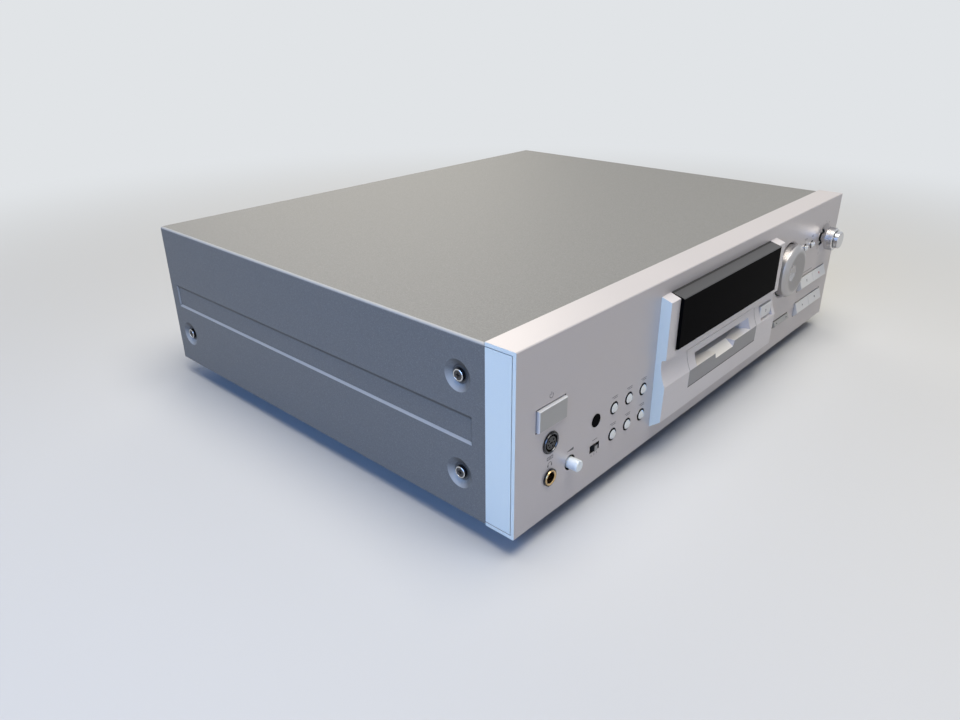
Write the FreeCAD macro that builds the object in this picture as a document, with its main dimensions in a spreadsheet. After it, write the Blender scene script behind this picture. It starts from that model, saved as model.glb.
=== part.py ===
import FreeCAD, Part
import math
import os
import re
import Sketcher

# A full-width minidisc recorder deck, in millimetres.
# X runs to the right along the fascia, Y runs from the fascia to the rear, Z is up.
# The origin is on the floor, under the middle of the whole deck, knobs and sockets included.

SIZES = {
    # Case
    "case_width": 440.0,        # fascia and cover, side to side
    "case_depth": 350.0,        # fascia's face to the cover's rear edge
    "panel_height": 110.0,      # fascia, without the feet
    "panel_depth": 20.0,        # fascia channel, front to back
    "panel_wall": 2.2,
    "panel_chamfer": 0.5,
    "layout_run": 136.0,        # end of the fascia to the raised centre, as its insets are drawn
    "cap_thick": 2.0,           # end caps, set into the channel
    "cap_gap": 0.45,            # shadow line round each end cap
    "cover_gauge": 1.2,
    "cover_bend": 1.8,          # outer radius of the cover's two bends
    "cover_drop": 1.0,          # cover's top, below the fascia's top
    "cover_lift": 0.9,          # cover's lower edge, above the fascia's
    "band_low": 47.0,           # pressed band along each side
    "band_high": 64.5,
    "band_depth": 1.1,
    "band_ramp": 1.5,           # height of the band's sloped lower step
    "band_front": 29.5,
    "band_tail": 8.4,
    "dish_radius": 9.3,         # dished seats of the cover screws
    "dish_floor": 5.0,
    "dish_depth": 2.5,
    "screw_front": 39.2,        # cover screws, from the fascia's face
    "screw_tail": 17.6,         # and from the cover's rear edge
    "screw_low": 25.8,
    "screw_high": 85.4,
    "chassis_gauge": 1.2,
    "floor_lift": 1.0,
    "flange_height": 38.0,
    "frame_height": 104.0,
    "tab_depth": 32.0,          # tab that takes the upper cover screw
    "tab_half": 12.0,
    "rear_lip": 7.2,
    "rear_inset": 1.0,          # rear panel, inside the cover's rear edge
    "rear_gauge": 1.2,
    "sheet_gap": 0.2,
    "vent_length": 34.0,
    "vent_width": 4.0,
    "vent_pitch": 11.0,
    "vent_row_pitch": 60.0,
    "foot_height": 12.5,
    "foot_radius": 22.0,
    "foot_taper": 2.0,
    "foot_well": 6.5,
    "foot_web": 4.0,
    "foot_inset": 48.0,
    "foot_front": 62.0,
    "foot_tail": 48.0,

    # Screws
    "cover_screw_head": 3.6,
    "cover_screw_height": 2.0,
    "cover_screw_shank": 1.9,
    "cover_screw_length": 7.0,
    "case_screw_head": 2.9,
    "case_screw_height": 1.8,
    "case_screw_shank": 1.5,
    "case_screw_length": 6.0,
    "recess_length": 3.2,       # cross recess
    "recess_width": 0.7,
    "recess_depth": 0.9,
    "screw_gap": 0.08,

    # Raised centre of the fascia
    "bridge_width": 168.0,
    "bridge_crown": 7.1,
    "bridge_face": 7.1,
    "bridge_brow": 4.2,
    "bridge_proud": 8.0,
    "bridge_top_gap": 10.0,     # below the fascia's top
    "bridge_crown_gap": 12.4,
    "brow_height": 58.7,
    "rail_height": 59.9,
    "crease_height": 41.4,
    "chin_height": 16.4,
    "bridge_bottom": 10.8,
    "bridge_chin": 7.4,
    "scoop_radius": 33.0,
    "bridge_wall": 2.6,
    "window_width": 145.0,
    "window_low": 63.8,
    "window_top_gap": 10.0,
    "window_slope": 2.3,
    "window_proud": 9.0,
    "window_wall": 2.5,
    "window_chamfer": 0.5,
    "window_gap": 0.8,
    "window_rim": 2.6,          # seat around the display opening
    "tube_width": 120.0,
    "tube_height": 20.0,
    "tube_thick": 6.0,
    "tube_behind": 0.4,
    "tube_leg": 6.0,

    # Disc slot
    "insert_width": 102.0,
    "insert_low": 29.3,
    "insert_high": 55.0,
    "insert_gap": 0.2,
    "mouth_half": 41.0,
    "mouth_high": 52.4,
    "mouth_flare": 16.0,        # plan radius of the mouth's ends
    "slot_half": 37.0,
    "slot_high": 47.5,
    "throat_set": 3.0,
    "notch_half": 12.5,
    "notch_splay": 2.6,
    "notch_low": 36.5,
    "notch_run": 7.0,
    "tail_half": 42.0,
    "tail_low": 38.0,
    "tail_high": 53.0,
    "tail_depth": 7.0,
    "tail_gap": 0.5,
    "flap_half": 37.2,
    "flap_gap": 0.3,
    "flap_thick": 1.4,
    "flap_low": 40.8,
    "flap_axis": 48.7,
    "flap_axis_set": 4.5,
    "flap_eye": 1.1,
    "flap_pin": 0.9,
    "flap_pin_reach": 2.6,
    "flap_room": 0.4,
    "flap_room_high": 50.6,
    "run_gap": 0.05,            # radial clearance of a shaft in its hole

    # Boards and switches behind the fascia
    "board_set": 12.0,
    "board_thick": 1.6,
    "board_inset": 16.0,
    "board_low": 10.0,
    "board_high": 101.0,
    "board_port_half": 47.0,
    "board_port_low": 28.0,
    "board_port_high": 63.0,
    "stud_radius": 3.0,
    "stud_inner": 18.0,         # from the raised centre's edges
    "stud_outer": 78.0,
    "stud_margin": 4.0,
    "switch_side": 7.0,
    "switch_height": 5.0,
    "stem_radius": 1.5,
    "stem_reach": 1.0,
    "stem_gap": 0.1,
    "bore_floor": 0.3,

    # Buttons
    "button_gap": 0.6,
    "button_chamfer": 0.5,
    "button_lip": 1.0,
    "lip_gap": 0.3,
    "lip_thick": 1.2,
    "power_inset": 29.1,
    "power_height": 65.2,
    "power_width": 25.4,
    "power_tall": 14.0,
    "power_proud": 2.0,
    "edit_inset": 12.4,         # from the raised centre's left edge
    "edit_pitch": 16.1,
    "edit_low": 25.0,
    "edit_row_pitch": 18.0,
    "edit_hole": 4.2,
    "edit_radius": 3.1,
    "edit_proud": 2.0,
    "edit_dome": 1.6,
    "input_first": 65.4,        # from the raised centre's right edge
    "input_pitch": 14.4,
    "input_height": 77.2,
    "input_hole": 3.3,
    "input_radius": 2.4,
    "input_proud": 2.6,
    "input_dome": 1.3,
    "key_first": 65.0,          # transport keys, from the raised centre's right edge
    "key_row_width": 55.5,
    "key_tall": 12.5,
    "key_low": 23.0,
    "key_row_pitch": 22.0,
    "key_proud": 3.4,           # the ridge along each key
    "key_edge": 0.8,            # its upper and lower edges
    "key_drop": 2.8,            # ridge, below the key's middle
    "key_split": 0.5,
    "ridge_round": 0.6,
    "rocker_centre": 36.0,
    "rocker_height": 22.4,
    "rocker_width": 29.0,
    "rocker_tall": 6.2,
    "rocker_proud": 2.4,
    "rocker_edge": 0.8,
    "rocker_drop": 1.2,
    "rocker_back": 3.6,
    "rocker_axis_set": 7.0,
    "rocker_web": 1.8,
    "rocker_eye": 1.2,
    "rocker_pin": 1.0,
    "rocker_switch": 10.5,
    "rocker_switch_side": 5.0,
    "rocker_switch_set": 1.2,
    "rocker_ear": 1.5,
    "rocker_ear_gap": 0.3,
    "eject_centre": 70.0,
    "eject_height": 47.5,
    "eject_width": 20.0,
    "eject_tall": 11.6,
    "eject_proud": 6.0,

    # Knobs
    "dial_centre": 33.0,        # from the raised centre's right edge
    "dial_height": 66.5,
    "dial_radius": 20.8,
    "dial_face": 15.5,
    "dial_proud": 8.0,
    "dial_shoulder": 3.4,
    "dial_round": 6.0,          # radius of the shoulder
    "dial_skirt": 1.2,
    "dial_wall": 2.2,
    "dial_web": 4.5,
    "dial_hub": 5.0,
    "dial_hub_back": 2.5,
    "dial_dish": 23.0,
    "dial_hole": 21.6,
    "dial_dish_depth": 1.4,
    "dimple_orbit": 9.2,
    "dimple_turn": 172.0,
    "dimple_radius": 6.4,
    "dimple_depth": 2.0,
    "jog_shaft_radius": 3.0,
    "jog_engage": 8.5,
    "encoder_side": 13.0,
    "encoder_height": 6.0,
    "encoder_neck": 4.6,
    "encoder_neck_set": 4.0,
    "level_centre": 108.0,
    "level_height": 77.0,
    "level_ring_radius": 9.5,
    "level_ring_proud": 10.0,
    "level_ring_stand": 3.2,    # ring, clear of the fascia
    "level_ring_hub": 4.0,
    "level_hub_end": 8.0,
    "level_radius": 7.2,
    "level_proud": 14.0,
    "level_rear": 10.4,
    "level_shaft": 1.6,
    "level_shaft_end": 10.5,
    "knob_chamfer": 0.6,
    "mark_width": 0.8,
    "mark_depth": 0.35,
    "mark_inner": 3.2,
    "level_dish": 12.5,
    "level_hole": 7.0,
    "level_dish_depth": 1.9,
    "pot_side": 17.0,
    "pot_front": 5.5,
    "pot_neck": 6.0,
    "pot_neck_set": 3.0,
    "pot_step": 8.2,
    "phones_inset": 48.5,
    "phones_level_height": 26.0,
    "phones_knob_radius": 3.5,
    "phones_knob_proud": 6.8,
    "phones_knob_back": 0.6,
    "phones_hole": 4.7,
    "phones_shaft": 1.5,
    "phones_shaft_end": 10.0,
    "phones_pot_side": 10.0,
    "phones_pot_height": 6.0,
    "phones_neck": 3.4,
    "phones_neck_set": 3.0,
    "timer_inset": 63.25,       # from the raised centre's left edge
    "timer_height": 24.5,
    "timer_width": 9.5,
    "timer_tall": 5.0,
    "timer_lever": 1.5,
    "timer_lever_tall": 3.6,
    "timer_proud": 1.2,
    "timer_tail": 10.0,
    "timer_travel": 2.8,
    "timer_gap": 0.15,
    "timer_body": 15.0,
    "timer_body_tall": 8.0,
    "timer_body_set": 2.6,

    # Sockets on the fascia
    "jack_inset": 29.7,
    "jack_height": 25.5,
    "jack_bore": 3.2,
    "jack_nut": 5.2,
    "jack_nut_proud": 1.0,
    "jack_barrel": 4.6,
    "jack_body": 14.0,
    "jack_length": 27.0,
    "jack_gap": 0.15,
    "jack_port": 8.0,
    "keyboard_height": 47.5,
    "keyboard_radius": 6.5,
    "keyboard_proud": 0.6,
    "keyboard_cup": 4.9,
    "keyboard_core": 3.9,
    "keyboard_deep": 5.0,
    "keyboard_pin": 0.55,
    "keyboard_pin_orbit": 2.5,
    "keyboard_key_wide": 2.2,
    "keyboard_key_tall": 0.9,
    "sensor_inset": 63.3,
    "sensor_height": 42.5,
    "sensor_radius": 4.1,
    "sensor_gap": 0.1,
    "sensor_proud": 0.3,
    "sensor_lip": 1.3,

    # Disc drive
    "wall_room": 2.6,           # frame's wall, past the loading gear
    "drive_front": 24.0,
    "drive_back": 140.0,
    "drive_plate": 25.0,
    "drive_gauge": 1.5,
    "drive_wall_high": 52.0,
    "port_margin": 2.0,
    "post_radius": 4.0,
    "post_high": 20.0,
    "post_in": 42.0,
    "post_front": 34.0,
    "post_back": 130.0,
    "damper_radius": 6.0,
    "deck_port_half": 19.0,
    "holder_half": 38.5,
    "holder_wall": 1.0,
    "holder_front": 28.0,
    "holder_back": 100.0,
    "holder_low": 40.0,
    "holder_top": 47.8,
    "holder_rail": 33.0,
    "holder_window_half": 10.0,
    "holder_window": 70.0,
    "holder_pin": 1.2,
    "holder_pin_height": 46.0,
    "holder_pin_front": 44.0,
    "holder_pin_back": 92.0,
    "holder_drop": 4.5,
    "pin_gap": 0.2,
    "cam_half": 42.0,
    "cam_gauge": 1.2,
    "cam_travel": 12.0,
    "cam_front": 28.0,
    "cam_back": 114.0,
    "cam_low": 38.8,
    "cam_top": 50.0,
    "cam_strap": 8.0,
    "gear_module": 1.0,
    "gear_teeth": 10.0,
    "gear_station": 110.0,
    "gear_backlash": 0.35,
    "gear_width": 1.8,
    "gear_wheel": 6.0,
    "gear_wheel_width": 2.4,
    "gear_hub": 2.6,
    "gear_axle": 1.3,
    "motor_pinion": 2.1,
    "motor_gap": 0.3,
    "motor_radius": 6.0,
    "motor_length": 17.0,
    "motor_boss": 2.6,
    "spindle_station": 76.0,
    "stator_radius": 8.0,
    "stator_high": 31.4,
    "rotor_low": 31.7,
    "rotor_high": 33.4,
    "rotor_radius": 7.4,
    "table_radius": 5.5,
    "table_high": 37.6,
    "spindle_shaft": 1.5,
    "rod_radius": 1.5,
    "rod_half": 14.0,
    "rod_height": 29.8,
    "rod_front": 78.0,
    "rod_back": 130.0,
    "rod_block": 4.0,
    "rod_block_side": 6.0,
    "sled_half": 17.5,
    "sled_front": 85.0,
    "sled_back": 103.0,
    "sled_low": 27.3,
    "sled_high": 33.0,
    "sled_travel": 17.0,
    "lens_station": 91.0,
    "lens_radius": 4.0,
    "lens_high": 36.2,
    "lens_glass": 2.0,
    "screw_axis": 24.0,
    "screw_radius": 1.5,
    "screw_motor_radius": 3.3,
    "screw_motor_length": 14.0,
    "screw_bear": 4.0,
    "finger_gap": 0.25,
    "finger_length": 8.0,
    "arm_half": 5.0,
    "arm_low": 53.0,
    "arm_gauge": 1.2,
    "arm_front": 86.0,
    "arm_axis": 126.0,
    "arm_axis_height": 54.6,
    "arm_eye": 2.2,
    "arm_pin": 1.1,
    "arm_ear_in": 6.0,
    "arm_ear": 1.6,
    "arm_head_half": 3.0,
    "arm_head": 7.0,
    "arm_head_low": 49.6,
    "arm_stay_front": 122.0,
    "arm_stay_back": 132.0,
    "arm_stay_low": 50.5,

    # Main board, transformer and rear sockets
    "main_right": 14.0,         # board edge, from the case's right end
    "main_gap": 10.0,           # board edge, past the disc drive
    "main_front": 60.0,
    "main_tail": 6.0,
    "main_low": 8.0,
    "main_thick": 1.6,
    "main_margin": 6.0,
    "chip_side": 22.0,
    "chip_high": 2.6,
    "chip_pitch": 40.0,
    "can_radius": 6.5,
    "can_high": 22.0,
    "can_pitch": 18.0,
    "sink_length": 50.0,
    "sink_thick": 3.0,
    "sink_high": 40.0,
    "sink_fin": 8.0,
    "sink_pitch": 7.0,
    "core_width": 66.0,
    "core_depth": 30.0,
    "core_height": 56.0,
    "coil_width": 42.0,
    "coil_depth": 52.0,
    "coil_low": 10.0,
    "core_foot": 2.0,
    "core_foot_reach": 12.0,
    "core_inset": 82.0,
    "core_tail": 78.0,
    "jack_proud": 8.0,          # line jacks, past the cover's rear edge
    "line_set": 20.0,           # from the board's inner edge
    "line_pitch": 14.0,
    "line_low": 28.0,
    "line_row_pitch": 16.0,
    "line_sleeve": 4.15,
    "line_core": 3.1,
    "line_pin_hole": 1.6,
    "line_hole": 5.2,
    "line_collar": 5.0,
    "line_collar_proud": 1.0,
    "line_margin": 7.0,
    "line_block": 12.0,
    "optical_set": 54.0,
    "optical_pitch": 17.0,
    "optical_height": 30.0,
    "optical_side": 10.0,
    "optical_block": 13.0,
    "optical_plug": 6.0,
    "optical_plug_proud": 4.0,
    "inlet_inset": 36.0,
    "inlet_height": 34.0,
    "inlet_width": 27.0,
    "inlet_tall": 16.0,
    "inlet_well": 22.0,
    "inlet_well_tall": 9.0,
    "inlet_well_deep": 13.0,
    "inlet_length": 20.0,
    "inlet_flange": 1.5,
    "inlet_pin": 1.2,
    "inlet_pin_half": 4.3,
    "inlet_pin_long": 10.0,
    "overrun": 1.0,             # how far a cutting tool runs past a face
}

# Sizes that follow from others
FOLLOWERS = {
    "spread": "=(case_width - bridge_width) / (2 * layout_run)",    # of the fascia's insets
    "drive_half": "=cam_half + cam_gauge + lip_gap + gear_wheel_width + wall_room + drive_gauge",
    "holder_pin_end": "=drive_half - lip_gap",
    "main_width": "=case_width / 2 - main_right - main_gap - drive_half",
}
NAMES = {**SIZES, **FOLLOWERS}

doc = FreeCAD.newDocument("minidisc_deck")
sheet = doc.addObject("Spreadsheet::Sheet", "dim")
for row, (alias, size) in enumerate(NAMES.items(), 1):
    sheet.set(f"A{row}", alias.replace("_", " "))
    sheet.set(f"B{row}", str(size))
    sheet.setAlias(f"B{row}", alias)
doc.recompute()

ALIAS = re.compile(r"\b[a-z]\w*")
PIECES = []


# Places that many pieces share, as expressions in the sheet's names

FRONT = "((level_proud - case_depth - jack_proud) / 2)"     # the fascia's face
REAR = f"({FRONT} + case_depth)"                            # the cover's rear edge
BACK = f"({REAR} - rear_inset)"                             # the rear panel's outer face
TOP = "(foot_height + panel_height)"
WALL_BACK = f"({FRONT} + panel_wall)"
PANEL_END = f"({FRONT} + panel_depth)"
BOARD = f"({FRONT} + board_set)"                            # the control board's front face
BOARD_BACK = f"({BOARD} + board_thick)"
FLOOR = "(foot_height + floor_lift)"                        # the chassis's underside
DECK = f"({FLOOR} + chassis_gauge)"                         # the chassis's upper face
BRIDGE_EDGE = "(bridge_width / 2)"


def y_at(depth):
    """The Y of a plane this far behind the fascia's face."""
    return f"({FRONT} + {depth})"


def z_at(height):
    """The Z of a plane this far above the fascia's lower edge."""
    return f"(foot_height + {height})"


def side(sign, depth):
    """The X of a plane this far inside the case's left (-1) or right (1) end."""
    return f"({sign} * (case_width / 2 - {depth}))"


def around(centre, width):
    """Both ends of a width about its centre."""
    return (f"({centre} - {width} / 2)", f"({centre} + {width} / 2)")


def both(half):
    """Both ends of a width about the middle plane."""
    return (f"(-{half})", f"({half})")


def ordered(sign, low, high):
    """A pair of X planes in rising order on either side of the middle."""
    return (low, high) if sign < 0 else (high, low)


# Tools that make and join bound objects

def bind(text):
    """Point each of the sheet's names in an expression at the sheet."""
    return ALIAS.sub(lambda word: "dim." + word[0] if word[0] in NAMES else word[0], text)


def number(text):
    """The value of an expression."""
    return float(sheet.evalExpression(bind(text)))


def tie(thing, prop, text):
    thing.setExpression(prop, bind(text))


def tie_place(thing, x, y, z):
    for axis, text in zip("xyz", (x, y, z)):
        tie(thing, "Placement.Base." + axis, text)


def box(x, y, z):
    """A block between the two ends of x, y and z."""
    block = doc.addObject("Part::Box", "block")
    for prop, (low, high) in zip(("Length", "Width", "Height"), (x, y, z)):
        tie(block, prop, f"({high}) - ({low})")
    tie_place(block, x[0], y[0], z[0])
    return block


ALONG = {
    "X": FreeCAD.Rotation(FreeCAD.Vector(0, 1, 0), 90),
    "Y": FreeCAD.Rotation(FreeCAD.Vector(1, 0, 0), -90),
    "Z": FreeCAD.Rotation(),
}


def stand(thing, axis, centre, span):
    """Lay a round primitive along an axis, over a span, about a centre in the other two."""
    spots = {"X": (span[0], *centre), "Y": (centre[0], span[0], centre[1]), "Z": (*centre, span[0])}
    thing.Placement = FreeCAD.Placement(FreeCAD.Vector(), ALONG[axis])
    tie(thing, "Height", f"({span[1]}) - ({span[0]})")
    tie_place(thing, *spots[axis])
    return thing


def rod(axis, centre, radius, span):
    """A cylinder along an axis."""
    bar = doc.addObject("Part::Cylinder", "rod")
    tie(bar, "Radius", radius)
    return stand(bar, axis, centre, span)


def cone(axis, centre, radii, span):
    """A cone along an axis, with a radius for each end of its span."""
    bar = doc.addObject("Part::Cone", "cone")
    tie(bar, "Radius1", radii[0])
    tie(bar, "Radius2", radii[1])
    return stand(bar, axis, centre, span)


def fuse(*things):
    """One solid from several; a single one stays as it is."""
    if len(things) == 1:
        return things[0]
    whole = doc.addObject("Part::MultiFuse", "joined")
    whole.Shapes = list(things)
    whole.Refine = True
    return whole


def cut(base, *tools):
    """A base less one or more tools."""
    whole = doc.addObject("Part::Cut", "cut")
    whole.Base = base
    whole.Tool = fuse(*tools)
    whole.Refine = True
    return whole


def common(first, second):
    """What two solids share."""
    whole = doc.addObject("Part::Common", "shared")
    whole.Base = first
    whole.Tool = second
    return whole


def soften(kind, base, size, pick):
    """Fillet or chamfer the edges of base that pick() accepts."""
    doc.recompute()
    reach = number(size)
    whole = doc.addObject("Part::" + kind, "softened")
    whole.Base = base
    whole.Edges = [(i, reach, reach) for i, edge in enumerate(base.Shape.Edges, 1) if pick(edge)]
    return whole


def in_plane(axis, text):
    """Accept the edges that lie in one plane across an axis."""
    level = number(text)
    near = 1e-4
    return lambda edge: all(abs(getattr(v.Point, axis) - level) < near for v in edge.Vertexes)


def piece(label, thing):
    """Name a finished sub-part."""
    thing.Label = label
    PIECES.append(thing)
    return thing


def group(label, things):
    """Several like solids under one name."""
    whole = doc.addObject("Part::Compound", "group")
    whole.Links = list(things)
    return piece(label, whole)


def outline_edge(start, end, bulge):
    """A line, or an arc with its centre left (1) or right (-1) of the way from start to end."""
    if bulge is None:
        return Part.LineSegment(start, end)
    radius, turn = number(bulge[0]), bulge[1]
    chord = end - start
    lift = math.sqrt(radius ** 2 - (chord.Length / 2) ** 2)
    left = FreeCAD.Vector(-chord.y, chord.x, 0).normalize()
    centre = (start + end) * 0.5 + left * (turn * lift)
    first, last = (start, end) if turn > 0 else (end, start)
    angles = [math.atan2(p.y - centre.y, p.x - centre.x) for p in (first, last)]
    circle = Part.Circle(centre, FreeCAD.Vector(0, 0, 1), radius)
    return Part.ArcOfCircle(circle, *angles)


def sketch(body, plane, outline, offset="0"):
    """A closed, fully bound outline on one of the body's own planes.

    Each corner is (u, v), or (u, v, radius, turn) where an arc leaves it.
    """
    drawing = body.newObject("Sketcher::SketchObject", "outline")
    role = plane + "_Plane"
    plane_feature = [f for f in body.Origin.OriginFeatures if f.Role == role][0]
    drawing.AttachmentSupport = (plane_feature, [""])
    drawing.MapMode = "FlatFace"
    tie(drawing, "AttachmentOffset.Base.z", offset)
    bulges = [corner[2:] or None for corner in outline]
    points = [FreeCAD.Vector(number(corner[0]), number(corner[1]), 0) for corner in outline]
    count = len(points)
    for i, point in enumerate(points):
        drawing.addGeometry(outline_edge(point, points[(i + 1) % count], bulges[i]), False)
    ends = [(2, 1) if bulge and bulge[1] < 0 else (1, 2) for bulge in bulges]
    rules, bound = [], []
    for i, point in enumerate(points):
        after = (i + 1) % count
        rules.append(Sketcher.Constraint("Coincident", i, ends[i][1], after, ends[after][0]))
        rules.append(Sketcher.Constraint("DistanceX", -1, 1, i, ends[i][0], point.x))
        bound.append((len(rules) - 1, outline[i][0]))
        rules.append(Sketcher.Constraint("DistanceY", -1, 1, i, ends[i][0], point.y))
        bound.append((len(rules) - 1, outline[i][1]))
        if bulges[i]:
            rules.append(Sketcher.Constraint("Radius", i, number(bulges[i][0])))
            bound.append((len(rules) - 1, bulges[i][0]))
    drawing.addConstraint(rules)
    for index, text in bound:
        tie(drawing, f"Constraints[{index}]", text)
    return drawing


NORMAL_OFFSET = {"XY": ("{0}", 0), "YZ": ("{0}", 0), "XZ": ("-({0})", 1)}


def extruded(name, plane, outline, span):
    """A PartDesign body padded from an outline over a span across its plane."""
    body = doc.addObject("PartDesign::Body", name)
    template, which = NORMAL_OFFSET[plane]
    pad_from = template.format(span[which])
    drawing = sketch(body, plane, outline, pad_from)
    pad = body.newObject("PartDesign::Pad", "pad")
    pad.Profile = drawing
    tie(pad, "Length", f"({span[1]}) - ({span[0]})")
    drawing.Visibility = False
    return body


TURNING = {"Y": ("YZ", "H_Axis"), "Z": ("XZ", "V_Axis")}


def turned(name, axis, place, outline):
    """A PartDesign body turned about an axis through a place.

    The outline is in the body's own frame: (along, radius) for X and Y, (radius, along) for Z.
    """
    body = doc.addObject("PartDesign::Body", name)
    plane, line = TURNING[axis]
    drawing = sketch(body, plane, outline)
    spin = body.newObject("PartDesign::Revolution", "spin")
    spin.Profile = drawing
    spin.ReferenceAxis = (drawing, [line])
    spin.Angle = 360
    tie_place(body, *place)
    drawing.Visibility = False
    return body


# Casing

COVER_TOP = f"({TOP} - cover_drop)"
COVER_SPAN = (z_at("cover_lift"), COVER_TOP)
FLANGE = "(dish_depth + cover_gauge)"       # chassis flanges, inside the case's ends
FRAME_BACK = f"({PANEL_END} + chassis_gauge)"
COVER_SCREWS = [(sign, place, height) for sign in (-1, 1) for place, height in (
    (y_at("screw_front"), z_at("screw_high")),
    (y_at("screw_front"), z_at("screw_low")),
    (f"({REAR} - screw_tail)", z_at("screw_low")))]
FOOT_SPOTS = [(side(sign, "foot_inset"), spot) for sign in (-1, 1)
              for spot in (y_at("foot_front"), f"({REAR} - foot_tail)")]
STUD_SPOTS = [(f"({sign} * ({BRIDGE_EDGE} + {reach} * spread))", height) for sign in (-1, 1)
              for reach in ("stud_inner", "stud_outer")
              for height in (z_at("(board_low + stud_margin)"), z_at("(board_high - stud_margin)"))]
POST_SPOTS = [(f"({sign} * post_in)", spot) for sign in (-1, 1)
              for spot in (y_at("post_front"), y_at("post_back"))]
MAIN_X = (side(1, "(main_right + main_width)"), side(1, "main_right"))
MAIN_Y = (y_at("main_front"), f"({BACK} - rear_gauge - main_tail)")
MAIN_SPOTS = [(x, y) for x in (f"({MAIN_X[0]} + main_margin)", f"({MAIN_X[1]} - main_margin)")
              for y in (f"({MAIN_Y[0]} + main_margin)", f"({MAIN_Y[1]} - main_margin)")]
REAR_SPOTS = [(x, z_at("(floor_lift + chassis_gauge + rear_lip / 2)")) for x in
              (side(-1, "foot_inset"), side(-1, "(case_width / 3)"), side(1, "(case_width / 3)"),
               side(1, "foot_inset"))]
SCREW_HOLE = "(case_screw_shank + screw_gap)"


def side_cone(sign, place, height, outer, inner, depth_from, depth_to):
    """A cone across the case's side wall that narrows inwards."""
    span = ordered(sign, side(sign, depth_from), side(sign, depth_to))
    return cone("X", (place, height), ordered(sign, outer, inner), span)


def top_cover():
    """U-shaped painted sheet with a pressed band and dished screw seats in each side."""
    low, high = COVER_SPAN
    gauge, bend = "cover_gauge", "cover_bend"
    left, right = side(-1, 0), side(1, 0)
    inner = "(cover_bend - cover_gauge)"
    outline = [
        (left, low), (left, f"{high} - {bend}", bend, -1), (f"{left} + {bend}", high),
        (f"{right} - {bend}", high, bend, -1), (right, f"{high} - {bend}"), (right, low),
        (f"{right} - {gauge}", low), (f"{right} - {gauge}", f"{high} - {bend}", inner, 1),
        (f"{right} - {bend}", f"{high} - {gauge}"),
        (f"{left} + {bend}", f"{high} - {gauge}", inner, 1),
        (f"{left} + {gauge}", f"{high} - {bend}"), (f"{left} + {gauge}", low),
    ]
    shell = extruded("cover_sheet", "XZ", outline, (PANEL_END, REAR))
    swells, presses = [], []
    for sign in (-1, 1):
        band_y = (y_at("band_front"), f"({REAR} - band_tail)")
        band_z = (z_at("band_low"), z_at("band_high"))
        face, floor = side(sign, 0), side(sign, "band_depth")
        band = [(face, band_z[0]), (face, band_z[1]), (floor, band_z[1]), (floor, f"{band_z[0]} + band_ramp")]
        presses.append(extruded("band_press", "XZ", band, band_y))
        swells.append(box(ordered(sign, side(sign, gauge), side(sign, "(band_depth + cover_gauge)")),
                          (f"{band_y[0]} - {gauge}", f"{band_y[1]} + {gauge}"),
                          (f"{band_z[0]} - {gauge}", f"{band_z[1]} + {gauge}")))
    for sign, place, height in COVER_SCREWS:
        presses.append(side_cone(sign, place, height, "dish_radius", "dish_floor", 0, "dish_depth"))
        swells.append(side_cone(sign, place, height, f"dish_radius + {gauge}", f"dish_floor + {gauge}",
                                gauge, FLANGE))
        presses.append(rod("X", (place, height), "cover_screw_shank + screw_gap",
                           ordered(sign, side(sign, "dish_depth"), side(sign, f"({FLANGE} + overrun)"))))
    return piece("top_cover", cut(fuse(shell, *swells), *presses))


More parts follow.
